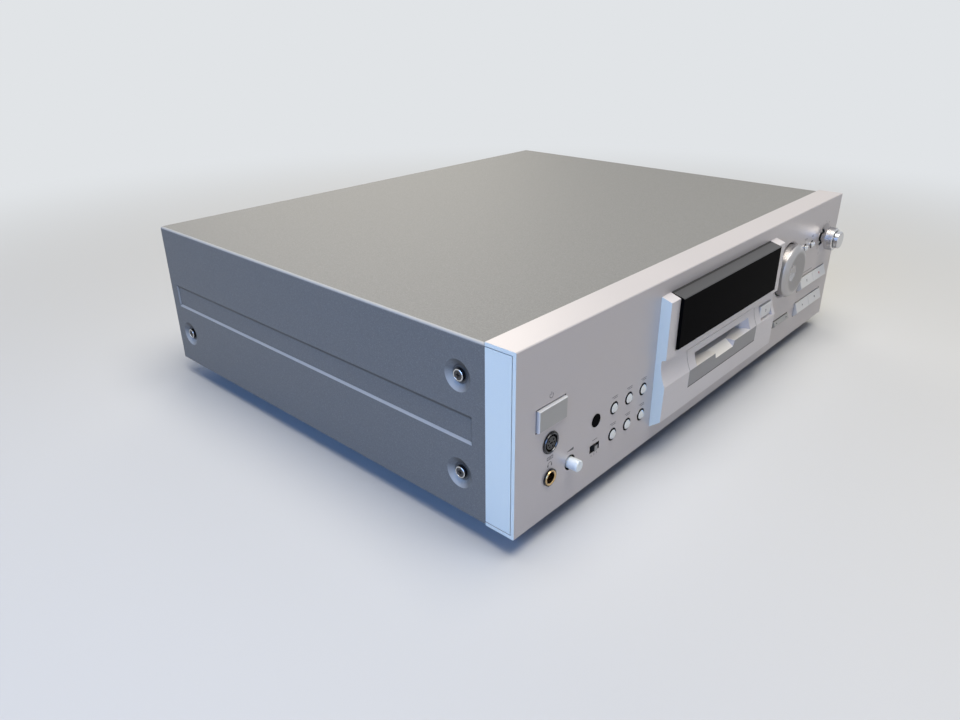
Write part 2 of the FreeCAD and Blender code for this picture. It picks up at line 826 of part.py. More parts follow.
def chassis_base():
    """Steel tray with side flanges, a rear lip, a front frame and the studs that carry the boards."""
    gauge = "chassis_gauge"
    wide = (side(-1, FLANGE), side(1, FLANGE))
    tray_back = f"({BACK} - rear_gauge)"
    long = (PANEL_END, tray_back)
    solids = [box(wide, long, (FLOOR, DECK)),
              box(wide, (PANEL_END, FRAME_BACK), (FLOOR, z_at("frame_height"))),
              box(wide, (f"({tray_back} - {gauge})", tray_back), (FLOOR, f"({DECK} + rear_lip)"))]
    for sign in (-1, 1):
        skin = ordered(sign, side(sign, FLANGE), side(sign, f"({FLANGE} + {gauge})"))
        solids.append(box(skin, long, (FLOOR, z_at("flange_height"))))
        solids.append(box(skin, (PANEL_END, f"({PANEL_END} + tab_depth)"),
                          around(z_at("screw_high"), "(2 * tab_half)")))
    for x, z in STUD_SPOTS:
        solids.append(rod("Y", (x, z), "stud_radius", (BOARD_BACK, PANEL_END)))
    for x, y in POST_SPOTS:
        solids.append(rod("Z", (x, y), "post_radius", (DECK, z_at("post_high"))))
    for x, y in MAIN_SPOTS:
        solids.append(rod("Z", (x, y), "stud_radius", (DECK, z_at("main_low"))))
    run = "overrun"
    through_frame = (f"{PANEL_END} - {run}", f"{FRAME_BACK} + {run}")
    through_floor = (f"{FLOOR} - {run}", f"{DECK} + {run}")
    tools = [box(both("(drive_half + port_margin)"), through_frame,
                 (z_at("board_port_low"), z_at("board_port_high"))),
             box(around(JACK_X, "(2 * jack_port)"), through_frame,
                 around(z_at("jack_height"), "(2 * jack_port)"))]
    for sign, place, height in COVER_SCREWS:
        tools.append(rod("X", (place, height), "cover_screw_shank + screw_gap",
                         ordered(sign, side(sign, f"({FLANGE} - {run})"),
                                 side(sign, f"({FLANGE} + {gauge} + {run})"))))
    for x, y in FOOT_SPOTS:
        tools.append(rod("Z", (x, y), SCREW_HOLE, through_floor))
    for x, z in STUD_SPOTS:
        tools.append(rod("Y", (x, z), SCREW_HOLE, (f"{BOARD_BACK} - {run}", f"{FRAME_BACK} + {run}")))
    for x, y in MAIN_SPOTS:
        tools.append(rod("Z", (x, y), SCREW_HOLE, (f"{FLOOR} - {run}", f"{z_at('main_low')} + {run}")))
    for x, z in REAR_SPOTS:
        tools.append(rod("Y", (x, z), SCREW_HOLE, (f"{tray_back} - {gauge} - {run}", f"{tray_back} + {run}")))
    vents_per_row = 8
    for line in (0, 1):
        for i in range(vents_per_row):
            x = f"({MAIN_X[0]} + 3 * main_margin + {i} * vent_pitch)"
            y = f"({MAIN_Y[0]} + vent_row_pitch * {line + 1})"
            tools.append(box(around(x, "vent_width"), around(y, "vent_length"), through_floor))
    return piece("chassis_base", cut(fuse(*solids), *tools))


def rear_panel():
    """Painted steel sheet that carries the rear sockets."""
    wide = (side(-1, "(cover_gauge + sheet_gap)"), side(1, "(cover_gauge + sheet_gap)"))
    skin = (f"({BACK} - rear_gauge)", BACK)
    sheet_face = box(wide, skin, (FLOOR, f"{COVER_TOP} - cover_gauge - sheet_gap"))
    through = (f"{skin[0]} - overrun", f"{skin[1]} + overrun")
    tools = [rod("Y", (x, z), SCREW_HOLE, through) for x, z in REAR_SPOTS]
    tools += [rod("Y", (x, z), "line_hole", through) for x, z in LINE_SPOTS]
    for x in OPTICAL_X:
        tools.append(box(around(x, "(optical_side + 2 * sheet_gap)"), through,
                         around(z_at("optical_height"), "(optical_side + 2 * sheet_gap)")))
    tools.append(box(around(INLET_X, "(inlet_width + 2 * sheet_gap)"), through,
                     around(z_at("inlet_height"), "(inlet_tall + 2 * sheet_gap)")))
    return piece("rear_panel", cut(sheet_face, *tools))


def front_panel():
    """Aluminium channel: a face with every opening, and a flange above and below."""
    wall, nip = "panel_wall", "panel_chamfer"
    base = "foot_height"
    outline = [
        (FRONT, f"{base} + {nip}"), (f"{FRONT} + {nip}", base), (PANEL_END, base),
        (PANEL_END, f"{base} + {wall}"), (WALL_BACK, f"{base} + {wall}"),
        (WALL_BACK, f"{TOP} - {wall}"), (PANEL_END, f"{TOP} - {wall}"), (PANEL_END, TOP),
        (f"{FRONT} + {nip}", TOP), (FRONT, f"{TOP} - {nip}"),
    ]
    channel = extruded("fascia_channel", "YZ", outline, (side(-1, 0), side(1, 0)))
    through = (f"{FRONT} - overrun", f"{WALL_BACK} + overrun")
    slots = [
        (around(POWER_X, "power_width"), around(z_at("power_height"), "power_tall")),
        (around(TIMER_X, "timer_width"), around(z_at("timer_height"), "timer_tall")),
        (around(ROCKER_X, "rocker_width"), around(z_at("rocker_height"), "rocker_tall")),
        (around("eject_centre", "eject_width"), around(z_at("eject_height"), "eject_tall")),
        (both("(tail_half + tail_gap)"), (z_at("(tail_low - tail_gap)"), z_at("(tail_high + tail_gap)"))),
        (both("(window_width / 2 - window_rim)"),
         (z_at("(window_low + window_rim)"), f"({TOP} - window_top_gap - 2 * window_rim)")),
    ]
    slots += [(around(KEY_ROW_X, KEY_ROW_WIDTH), around(z, "key_tall")) for z in KEY_ROW_Z]
    holes = [
        (JACK_X, z_at("jack_height"), "jack_barrel + jack_gap"),
        (JACK_X, z_at("keyboard_height"), "keyboard_radius + jack_gap"),
        (PHONES_X, z_at("phones_level_height"), "phones_hole"),
        (SENSOR_X, z_at("sensor_height"), "sensor_radius + sensor_gap"),
        (DIAL_X, z_at("dial_height"), "dial_hole"),
        (LEVEL_X, z_at("level_height"), "level_hole"),
    ]
    holes += [(x, z, "edit_hole") for x, z in EDIT_SPOTS]
    holes += [(x, z, "input_hole") for x, z in INPUT_SPOTS]
    tools = [box(x, through, z) for x, z in slots]
    tools += [rod("Y", (x, z), radius, through) for x, z, radius in holes]
    tools.append(cone("Y", (DIAL_X, z_at("dial_height")), ("dial_dish", "dial_hole"),
                      (FRONT, y_at("dial_dish_depth"))))
    tools.append(cone("Y", (LEVEL_X, z_at("level_height")), ("level_dish", "level_hole"),
                      (FRONT, y_at("level_dish_depth"))))
    return piece("front_panel", cut(channel, *tools))


def end_cap(sign, label):
    """Flat plate that closes one end of the fascia channel."""
    rim = "(panel_wall + cap_gap)"
    return piece(label, box(ordered(sign, side(sign, 0), side(sign, "cap_thick")),
                            (y_at(rim), PANEL_END), (f"foot_height + {rim}", f"{TOP} - {rim}")))


def foot(x, y):
    """Round moulded foot with a well for its screw."""
    low_radius = "foot_radius - foot_taper"
    outline = [("foot_well", 0), (low_radius, 0), ("foot_radius", FLOOR), (SCREW_HOLE, FLOOR),
               (SCREW_HOLE, f"{FLOOR} - foot_web"), ("foot_well", f"{FLOOR} - foot_web")]
    return turned("foot", "Z", (x, y, "0"), [(str(u), str(v)) for u, v in outline])


# Raised centre, display and disc slot

def bridge_bar(x):
    """The raised centre's section, with its scooped band, over a width."""
    top, crown = f"{TOP} - bridge_top_gap", f"{TOP} - bridge_crown_gap"
    outline = [
        (FRONT, z_at("bridge_bottom")), (y_at("(-bridge_chin)"), z_at("chin_height")),
        (y_at("(-bridge_proud)"), z_at("crease_height"), "scoop_radius", 1),
        (y_at("(-bridge_brow)"), z_at("brow_height")), (y_at("(-bridge_face)"), z_at("rail_height")),
        (y_at("(-bridge_crown)"), crown), (FRONT, top),
    ]
    return extruded("bridge_section", "YZ", outline, x)


def display_bridge():
    """Moulded frame over the fascia, open for the window, the slot insert and the eject key."""
    bar = bridge_bar(both(BRIDGE_EDGE))
    deep = (y_at("(-window_proud - overrun)"), y_at("overrun"))
    tools = [
        box(both("(window_width / 2 + window_gap)"), deep,
            (z_at("(window_low - window_gap)"), f"{TOP} + overrun")),
        box(both("(insert_width / 2)"), deep, (z_at("insert_low"), z_at("insert_high"))),
        box(around("eject_centre", "eject_width"), deep, around(z_at("eject_height"), "eject_tall")),
        box(both(f"({BRIDGE_EDGE} - bridge_wall)"),
            (y_at("(bridge_wall - bridge_chin)"), y_at("overrun")),
            (z_at("chin_height"), z_at("(insert_low - bridge_wall)"))),
    ]
    return piece("display_bridge", cut(bar, *tools))


def display_window():
    """Smoked acrylic cap over the display, hollow at the back."""
    top = f"{TOP} - window_top_gap"
    nose, nip = y_at("(-window_proud)"), "window_chamfer"
    outline = [
        (FRONT, z_at("window_low")), (f"{nose} + {nip}", z_at("window_low")),
        (nose, f"{z_at('window_low')} + {nip}"), (nose, f"{top} - window_slope - {nip}"),
        (f"{nose} + {nip}", f"{top} - window_slope"), (FRONT, top),
    ]
    cap = extruded("window_section", "YZ", outline, both("(window_width / 2)"))
    hollow = box(both("(window_width / 2 - window_wall)"),
                 (f"{nose} + window_wall", f"{FRONT} + overrun"),
                 (z_at("(window_low + window_wall)"), f"{top} - window_slope - window_wall"))
    return piece("display_window", cut(cap, hollow))


def display_tube():
    """Flat glass display tube on two legs that stand on the control board."""
    middle = f"({z_at('window_low')} + {TOP} - window_top_gap - window_slope) / 2"
    solids = [box(both("(tube_width / 2)"), (y_at("(tube_behind - tube_thick)"), y_at("tube_behind")),
                  around(f"({middle})", "tube_height"))]
    for sign in (-1, 1):
        solids.append(box(around(f"({sign} * (tube_width / 2 - tube_leg))", "tube_leg"),
                          (y_at("tube_behind"), BOARD), around(f"({middle})", "(tube_height / 2)")))
    return piece("display_tube", fuse(*solids))


def mouth_plan():
    """The slot's mouth seen from above: its ends flare towards the front in arcs."""
    nose = y_at("(-bridge_proud - overrun)")
    throat = y_at("throat_set")
    flare = ("mouth_flare", 1)
    outline = [("-slot_half", throat, *flare), ("-mouth_half", nose), ("mouth_half", nose, *flare),
               ("slot_half", throat)]
    return extruded("mouth_plan", "XY", outline, (z_at("crease_height"), z_at("insert_high")))


def mouth_side():
    """The slot's mouth seen from the end: flat floor, ceiling that rises to the front."""
    nose = y_at("(-bridge_proud - overrun)")
    throat = y_at("throat_set")
    outline = [(nose, z_at("crease_height")), (throat, z_at("crease_height")),
               (throat, z_at("slot_high")), (FRONT, z_at("slot_high")), (nose, z_at("mouth_high"))]
    return extruded("mouth_side", "YZ", outline, both("(mouth_half + overrun)"))


def finger_notch():
    """Sloping notch with splayed sides, for the finger that pushes the cartridge in."""
    nose = y_at("(-bridge_proud)")
    lip = z_at("(crease_height + overrun)")
    slope = [(f"{nose} + notch_run", z_at("crease_height")), (f"{nose} + notch_run", lip),
             (f"{nose} - overrun", lip), (f"{nose} - overrun", z_at("notch_low"))]
    splay = [("-notch_half", z_at("(notch_low - overrun)")), ("notch_half", z_at("(notch_low - overrun)")),
             ("notch_half + notch_splay", lip), ("-notch_half - notch_splay", lip)]
    return common(extruded("notch_slope", "YZ", slope, both("(notch_half + notch_splay)")),
                  extruded("notch_splay", "XZ", splay, (f"{nose} - overrun", f"{nose} + notch_run")))


def disc_slot_insert():
    """Darker moulding with the cartridge mouth, the finger notch and the flap's bearings."""
    half = "(insert_width / 2 - insert_gap)"
    face = common(bridge_bar(both(half)),
                  box(both(half), (y_at("(-bridge_proud - overrun)"), FRONT),
                      (z_at("(insert_low + insert_gap)"), z_at("(insert_high - insert_gap)"))))
    tail = box(both("tail_half"), (FRONT, y_at("tail_depth")), (z_at("tail_low"), z_at("tail_high")))
    room = box(both("(flap_half + flap_room)"), (y_at("throat_set"), y_at("(tail_depth + overrun)")),
               (z_at("(flap_low - flap_room)"), z_at("flap_room_high")))
    bearings = rod("X", (y_at("flap_axis_set"), z_at("flap_axis")), "flap_pin + run_gap",
                   both("(flap_half + flap_pin_reach + flap_room)"))
    mouth = common(mouth_plan(), mouth_side())
    return piece("disc_slot_insert", cut(fuse(face, tail), mouth, room, bearings, finger_notch()))


def slot_flap():
    """Dust flap that hangs from two pins and swings in when a cartridge is pushed."""
    front = y_at("(throat_set + flap_gap)")
    leaf = box(both("flap_half"), (front, f"{front} + flap_thick"), (z_at("flap_low"), z_at("flap_axis")))
    axis = (y_at("flap_axis_set"), z_at("flap_axis"))
    eye = rod("X", axis, "flap_eye", both("flap_half"))
    pin = rod("X", axis, "flap_pin", both("(flap_half + flap_pin_reach)"))
    return piece("slot_flap", fuse(leaf, eye, pin))


# Buttons and what they press

POWER_X = side(-1, "power_inset * spread")
PHONES_X = side(-1, "phones_inset * spread")
JACK_X = side(-1, "jack_inset * spread")
EDIT_SPOTS = [(f"(-{BRIDGE_EDGE} - (edit_inset + {column} * edit_pitch) * spread)",
               z_at(f"(edit_low + {line} * edit_row_pitch)"))
              for line in (1, 0) for column in (2, 1, 0)]
INPUT_SPOTS = [(f"({BRIDGE_EDGE} + (input_first + {i} * input_pitch) * spread)", z_at("input_height"))
               for i in (0, 1)]
KEY_ROW_X = f"({BRIDGE_EDGE} + (key_first + key_row_width / 2) * spread)"
KEY_ROW_WIDTH = "(key_row_width * spread)"
KEY_ROW_Z = [z_at("(key_low + key_row_pitch)"), z_at("key_low")]
KEY_WIDTH = f"(({KEY_ROW_WIDTH} - key_split) / 2)"
KEY_NAMES = ("pause_button", "record_button", "play_button", "stop_button")
KEY_SPOTS = [(f"({KEY_ROW_X} + {sign} * ({KEY_WIDTH} + key_split) / 2)", z)
             for z in KEY_ROW_Z for sign in (-1, 1)]
ROCKER_X = f"({BRIDGE_EDGE} + rocker_centre * spread)"
DIAL_X = f"({BRIDGE_EDGE} + dial_centre * spread)"
LEVEL_X = f"({BRIDGE_EDGE} + level_centre * spread)"
TIMER_X = f"(-{BRIDGE_EDGE} - timer_inset * spread)"
SENSOR_X = f"(-{BRIDGE_EDGE} - sensor_inset * spread)"
POWER_SPOT = (POWER_X, z_at("power_height"))
EJECT_SPOT = ("eject_centre", z_at("eject_height"))
SWITCHED = [POWER_SPOT, EJECT_SPOT, *EDIT_SPOTS, *INPUT_SPOTS, *KEY_SPOTS]
STEM_END = "(board_set - switch_height + stem_reach)"
LIP = ("(panel_wall + lip_gap)", "(panel_wall + lip_gap + lip_thick)")


def flat_button(label, spot, width, tall, proud):
    """Rectangular key with lips behind the fascia, above and below, and a stem to its switch."""
    x, z = spot
    wide = around(x, f"({width} - 2 * button_gap)")
    high = around(z, f"({tall} - 2 * button_gap)")
    cap = box(wide, (y_at(f"(-{proud})"), y_at(LIP[1])), high)
    cap = soften("Chamfer", cap, "button_chamfer", in_plane("y", y_at(f"(-{proud})")))
    return piece(label, fuse(cap, *lips_and_stem(spot, wide, high)))


def lips_and_stem(spot, wide, high):
    """What holds a key behind the fascia, and what presses its switch."""
    return (box(wide, (y_at(LIP[0]), y_at(LIP[1])),
                (f"{high[0]} - button_gap - button_lip", f"{high[1]} + button_gap + button_lip")),
            rod("Y", spot, "stem_radius", (y_at(LIP[1]), y_at(STEM_END))))


def ridged_cap(x, z, tall, edge, proud, drop, back):
    """Key's cap with a rounded ridge along it, below its middle."""
    low, high = around(z, f"({tall} - 2 * button_gap)")
    outline = [(y_at(back), low), (y_at(f"(-{edge})"), low), (y_at(f"(-{proud})"), f"{z} - {drop}"),
               (y_at(f"(-{edge})"), high), (y_at(back), high)]
    cap = extruded("ridged_cap", "YZ", outline, x)
    return soften("Fillet", cap, "ridge_round", in_plane("y", y_at(f"(-{proud})")))


def transport_key(label, spot, turn):
    """One key of a pair; turn tells which way its free end points, along X."""
    x, z = spot
    wide = ordered(turn, f"{x} + {turn} * ({KEY_WIDTH} / 2 - button_gap)",
                   f"{x} - {turn} * {KEY_WIDTH} / 2")
    cap = ridged_cap(wide, z, "key_tall", "key_edge", "key_proud", "key_drop", LIP[1])
    return piece(label, fuse(cap, *lips_and_stem(spot, wide, around(z, "(key_tall - 2 * button_gap)"))))


def round_button(label, spot, hole, radius, proud, dome):
    """Domed key with a flange behind the fascia and a stem to its switch."""
    sphere = f"(({radius}) ^ 2 + ({dome}) ^ 2) / (2 * {dome})"
    flange = f"{hole} + button_lip"
    outline = [(f"-{proud}", "0", sphere, -1), (f"{dome} - {proud}", radius), (LIP[0], radius),
               (LIP[0], flange), (LIP[1], flange), (LIP[1], "stem_radius"),
               (STEM_END, "stem_radius"), (STEM_END, "0")]
    return piece(label, turned("domed_key", "Y", (spot[0], FRONT, spot[1]), outline))


def search_rocker():
    """Wide key that tilts about an upright pin to press the switch at either end."""
    z = z_at("rocker_height")
    cap = ridged_cap(around(ROCKER_X, "(rocker_width - 2 * button_gap)"), z, "rocker_tall",
                     "rocker_edge", "rocker_proud", "rocker_drop", "rocker_back")
    web = box(around(ROCKER_X, "(2 * rocker_web)"), (y_at("rocker_back"), y_at("rocker_axis_set")),
              around(z, "(rocker_tall - 2 * button_gap)"))
    span = around(z, "(rocker_tall - 2 * button_gap)")
    axis = (ROCKER_X, y_at("rocker_axis_set"))
    barrel = rod("Z", axis, "rocker_pin + rocker_eye", span)
    bore = rod("Z", axis, "rocker_pin + run_gap", (f"{span[0]} - overrun", f"{span[1]} + overrun"))
    return piece("search_rocker", cut(fuse(cap, web, barrel), bore))


def control_board():
    """Circuit board behind the fascia, with the switch under each key and the rocker's fork."""
    solids = [box((side(-1, "board_inset * spread"), side(1, "board_inset * spread")), (BOARD, BOARD_BACK),
                  (z_at("board_low"), z_at("board_high")))]
    bores = []
    for x, z in SWITCHED:
        solids.append(box(around(x, "switch_side"), (f"{BOARD} - switch_height", BOARD),
                          around(z, "switch_side")))
        bores.append(rod("Y", (x, z), "stem_radius + stem_gap",
                         (f"{BOARD} - switch_height - overrun", f"{BOARD} - bore_floor")))
    z = z_at("rocker_height")
    reach = "(rocker_tall / 2 - button_gap + rocker_ear_gap)"
    for sign in (-1, 1):
        ear = ordered(sign, f"{z} + {sign} * ({reach} + rocker_ear)", f"{z} + {sign} * {reach}")
        solids.append(box(around(f"({ROCKER_X} + {sign} * rocker_switch)", "rocker_switch_side"),
                          (y_at("(rocker_back + rocker_switch_set)"), BOARD),
                          around(z, "rocker_switch_side")))
        solids.append(box(around(ROCKER_X, "(2 * (rocker_pin + rocker_eye))"),
                          (y_at("(rocker_axis_set - rocker_pin - rocker_eye)"), BOARD), ear))
    solids.append(rod("Z", (ROCKER_X, y_at("rocker_axis_set")), "rocker_pin",
                      around(z, f"(2 * ({reach} + rocker_ear))")))
    solids.append(box(around(TIMER_X, "timer_body"), (y_at("timer_body_set"), BOARD),
                      around(z_at("timer_height"), "timer_body_tall")))
    bores.append(box(around(TIMER_X, "(2 * (timer_lever + timer_travel + timer_gap))"),
                     (f"{y_at('timer_body_set')} - overrun", y_at("(timer_tail + timer_gap)")),
                     around(z_at("timer_height"), "(timer_lever_tall + 2 * timer_gap)")))
    through = (f"{BOARD} - overrun", f"{BOARD_BACK} + overrun")
    ports = [box(both("board_port_half"), through, (z_at("board_port_low"), z_at("board_port_high"))),
             box(around(JACK_X, "(2 * jack_port)"), through,
                 around(z_at("jack_height"), "(2 * jack_port)"))]
    ports += [rod("Y", (x, z), SCREW_HOLE, through) for x, z in STUD_SPOTS]
    return piece("control_board", cut(fuse(*solids), *bores, *ports))


def timer_lever():
    """Lever of the three-position timer switch."""
    return piece("timer_lever", box(around(TIMER_X, "(2 * timer_lever)"),
                                    (y_at("(-timer_proud)"), y_at("timer_tail")),
                                    around(z_at("timer_height"), "timer_lever_tall")))


# Knobs

def jog_dial():
    """Turned dial with a finger dimple, on a shaft that is pressed to enter."""
    z = z_at("dial_height")
    bore = "jog_shaft_radius + run_gap"
    web = "dial_web - dial_proud"
    outline = [
        ("-dial_proud", "0"), ("-dial_proud", "dial_face", "dial_round", -1),
        ("dial_shoulder - dial_proud", "dial_radius"),
        ("dial_skirt", "dial_radius"), ("dial_skirt", "dial_radius - dial_wall"),
        (web, "dial_radius - dial_wall"), (web, "dial_hub"), ("dial_hub_back", "dial_hub"),
        ("dial_hub_back", bore), (web, bore), (web, "0"),
    ]
    dial = turned("dial", "Y", (DIAL_X, FRONT, z), outline)
    ball = doc.addObject("Part::Sphere", "dimple")
    tie(ball, "Radius", "(dimple_radius ^ 2 + dimple_depth ^ 2) / (2 * dimple_depth)")
    lift = "(dimple_radius ^ 2 - dimple_depth ^ 2) / (2 * dimple_depth)"
    tie_place(ball, f"{DIAL_X} + dimple_orbit * cos(dimple_turn * 1 deg)",
              f"{FRONT} - dial_proud - {lift}", f"{z} + dimple_orbit * sin(dimple_turn * 1 deg)")
    return piece("jog_dial", cut(dial, ball))


def jog_shaft():
    """Push shaft inside the encoder; the dial turns on its free end."""
    tip = "(dial_web - dial_proud)"
    end = f"({tip} + dial_hub_back - {tip} + jog_engage)"
    return piece("jog_shaft", rod("Y", (DIAL_X, z_at("dial_height")), "jog_shaft_radius",
                                  (y_at(f"({tip} + lip_gap)"), y_at(end))))


def jog_encoder():
    """Rotary encoder body on the control board, with its threaded neck."""
    centre = (DIAL_X, z_at("dial_height"))
    block = box(around(centre[0], "encoder_side"), (f"{BOARD} - encoder_height", BOARD),
                around(centre[1], "encoder_side"))
    neck = rod("Y", centre, "encoder_neck", (y_at("encoder_neck_set"), f"{BOARD} - encoder_height"))
    bore = rod("Y", centre, "jog_shaft_radius + run_gap",
               (f"{y_at('encoder_neck_set')} - overrun", f"{BOARD} - bore_floor"))
    return piece("jog_encoder", cut(fuse(block, neck), bore))


def index_mark(centre, front, radius):
    """Shallow radial groove that shows where a knob points."""
    x, z = centre
    return box(around(x, "mark_width"), (f"{front} - overrun", f"{front} + mark_depth"),
               (f"{z} + {radius} - mark_inner", f"{z} + {radius} + overrun"))


def record_level():
    """Two knobs on one axis, an outer ring and an inner knob, and their double potentiometer."""
    centre = (LEVEL_X, z_at("level_height"))
    place = (centre[0], FRONT, centre[1])
    nip, bore = "knob_chamfer", "level_shaft + run_gap"
    ring = turned("level_ring", "Y", place, [
        ("-level_ring_proud", bore), ("-level_ring_proud", f"level_ring_radius - {nip}"),
        (f"{nip} - level_ring_proud", "level_ring_radius"), ("-level_ring_stand", "level_ring_radius"),
        ("-level_ring_stand", "level_ring_hub"), ("level_hub_end", "level_ring_hub"),
        ("level_hub_end", bore)])
    piece("rec_level_ring", cut(ring, index_mark(centre, y_at("(-level_ring_proud)"), "level_ring_radius")))
    knob = turned("level_knob", "Y", place, [
        ("-level_proud", "0"), ("-level_proud", f"level_radius - {nip}"),
        (f"{nip} - level_proud", "level_radius"), ("-level_rear", "level_radius"),
        ("-level_rear", "level_shaft"), ("level_shaft_end", "level_shaft"), ("level_shaft_end", "0")])
    piece("rec_level_knob", cut(knob, index_mark(centre, y_at("(-level_proud)"), "level_radius")))
    block = box(around(centre[0], "pot_side"), (y_at("pot_front"), BOARD), around(centre[1], "pot_side"))
    neck = rod("Y", centre, "pot_neck", (y_at("pot_neck_set"), y_at("pot_front")))
    wide = rod("Y", centre, "level_ring_hub + run_gap",
               (f"{y_at('pot_neck_set')} - overrun", y_at("pot_step")))
    narrow = rod("Y", centre, bore, (y_at("pot_step"), f"{BOARD} - bore_floor"))
    piece("rec_level_pot", cut(fuse(block, neck), wide, narrow))


def phones_level():
    """Small level knob with its potentiometer."""
    centre = (PHONES_X, z_at("phones_level_height"))
    nip = "knob_chamfer"
    knob = turned("phones_knob", "Y", (centre[0], FRONT, centre[1]), [
        ("-phones_knob_proud", "0"), ("-phones_knob_proud", f"phones_knob_radius - {nip}"),
        (f"{nip} - phones_knob_proud", "phones_knob_radius"), ("phones_knob_back", "phones_knob_radius"),
        ("phones_knob_back", "phones_shaft"), ("phones_shaft_end", "phones_shaft"),
        ("phones_shaft_end", "0")])
    mark = index_mark(centre, y_at("(-phones_knob_proud)"), "phones_knob_radius")
    piece("phones_level_knob", cut(knob, mark))
    block = box(around(centre[0], "phones_pot_side"), (f"{BOARD} - phones_pot_height", BOARD),
                around(centre[1], "phones_pot_side"))
    neck = rod("Y", centre, "phones_neck", (y_at("phones_neck_set"), f"{BOARD} - phones_pot_height"))
    bore = rod("Y", centre, "phones_shaft + run_gap",
               (f"{y_at('phones_neck_set')} - overrun", f"{BOARD} - bore_floor"))
    piece("phones_level_pot", cut(fuse(block, neck), bore))


# Sockets and sensor on the fascia

def phones_jack():
    """Quarter-inch jack: nut on the fascia, barrel through it, body behind."""
    centre = (JACK_X, z_at("jack_height"))
    nut = rod("Y", centre, "jack_nut", (y_at("(-jack_nut_proud)"), FRONT))
    barrel = rod("Y", centre, "jack_barrel", (FRONT, WALL_BACK))
    body = box(around(centre[0], "jack_body"), (WALL_BACK, y_at("jack_length")),
               around(centre[1], "jack_body"))
    bore = rod("Y", centre, "jack_bore",
               (y_at("(-jack_nut_proud - overrun)"), y_at("(jack_length - jack_nut_proud)")))
    return piece("phones_jack", cut(fuse(nut, barrel, body), bore))


def keyboard_jack():
    """Six-way mini DIN socket: a shell, and a core with six pin holes and a key."""
    centre = (JACK_X, z_at("keyboard_height"))
    front = y_at("(-keyboard_proud)")
    shell = rod("Y", centre, "keyboard_radius", (front, BOARD))
    ring = cut(rod("Y", centre, "keyboard_cup", (f"{front} - overrun", y_at("keyboard_deep"))),
               rod("Y", centre, "keyboard_core", (f"{front} - overrun", y_at("keyboard_deep"))))
    pins = []
    pin_turns = (40, 140, 190, 240, 300, 350)
    for turn in pin_turns:
        pins.append(rod("Y", (f"{centre[0]} + keyboard_pin_orbit * cos({turn} deg)",
                              f"{centre[1]} + keyboard_pin_orbit * sin({turn} deg)"),
                        "keyboard_pin", (f"{front} - overrun", y_at("keyboard_deep"))))
    key = box(around(centre[0], "keyboard_key_wide"), (f"{front} - overrun", y_at("keyboard_deep")),
              around(centre[1], "keyboard_key_tall"))
    return piece("keyboard_jack", cut(shell, ring, key, *pins))


def remote_window():
    """Round dark window in front of the remote control sensor."""
    centre = (SENSOR_X, z_at("sensor_height"))
    lens = rod("Y", centre, "sensor_radius", (y_at("(-sensor_proud)"), WALL_BACK))
    lip = rod("Y", centre, "sensor_radius + sensor_lip", (WALL_BACK, f"{WALL_BACK} + sensor_lip"))
    return piece("remote_window", fuse(lens, lip))


# Disc drive

PLATE = (z_at("drive_plate"), z_at("(drive_plate + drive_gauge)"))
PINS = [(y_at(spot), z_at("holder_pin_height")) for spot in ("holder_pin_front", "holder_pin_back")]
PITCH_RADIUS = "(gear_module * gear_teeth / 2)"
RACK_LINE = "(cam_low - gear_module)"
GEAR_AXIS = (y_at("gear_station"), z_at(f"({RACK_LINE} - {PITCH_RADIUS})"))
GEAR_X = ("(-cam_half - cam_gauge - lip_gap)", "(-cam_half + lip_gap)")
MOTOR_AXIS = (f"({GEAR_AXIS[0]} + gear_wheel + motor_pinion + motor_gap)", GEAR_AXIS[1])
SPINDLE = ("0", y_at("spindle_station"))
SCREW_LINE = ("screw_axis", z_at("rod_height"))
ARM_AXIS = (y_at("arm_axis"), z_at("arm_axis_height"))


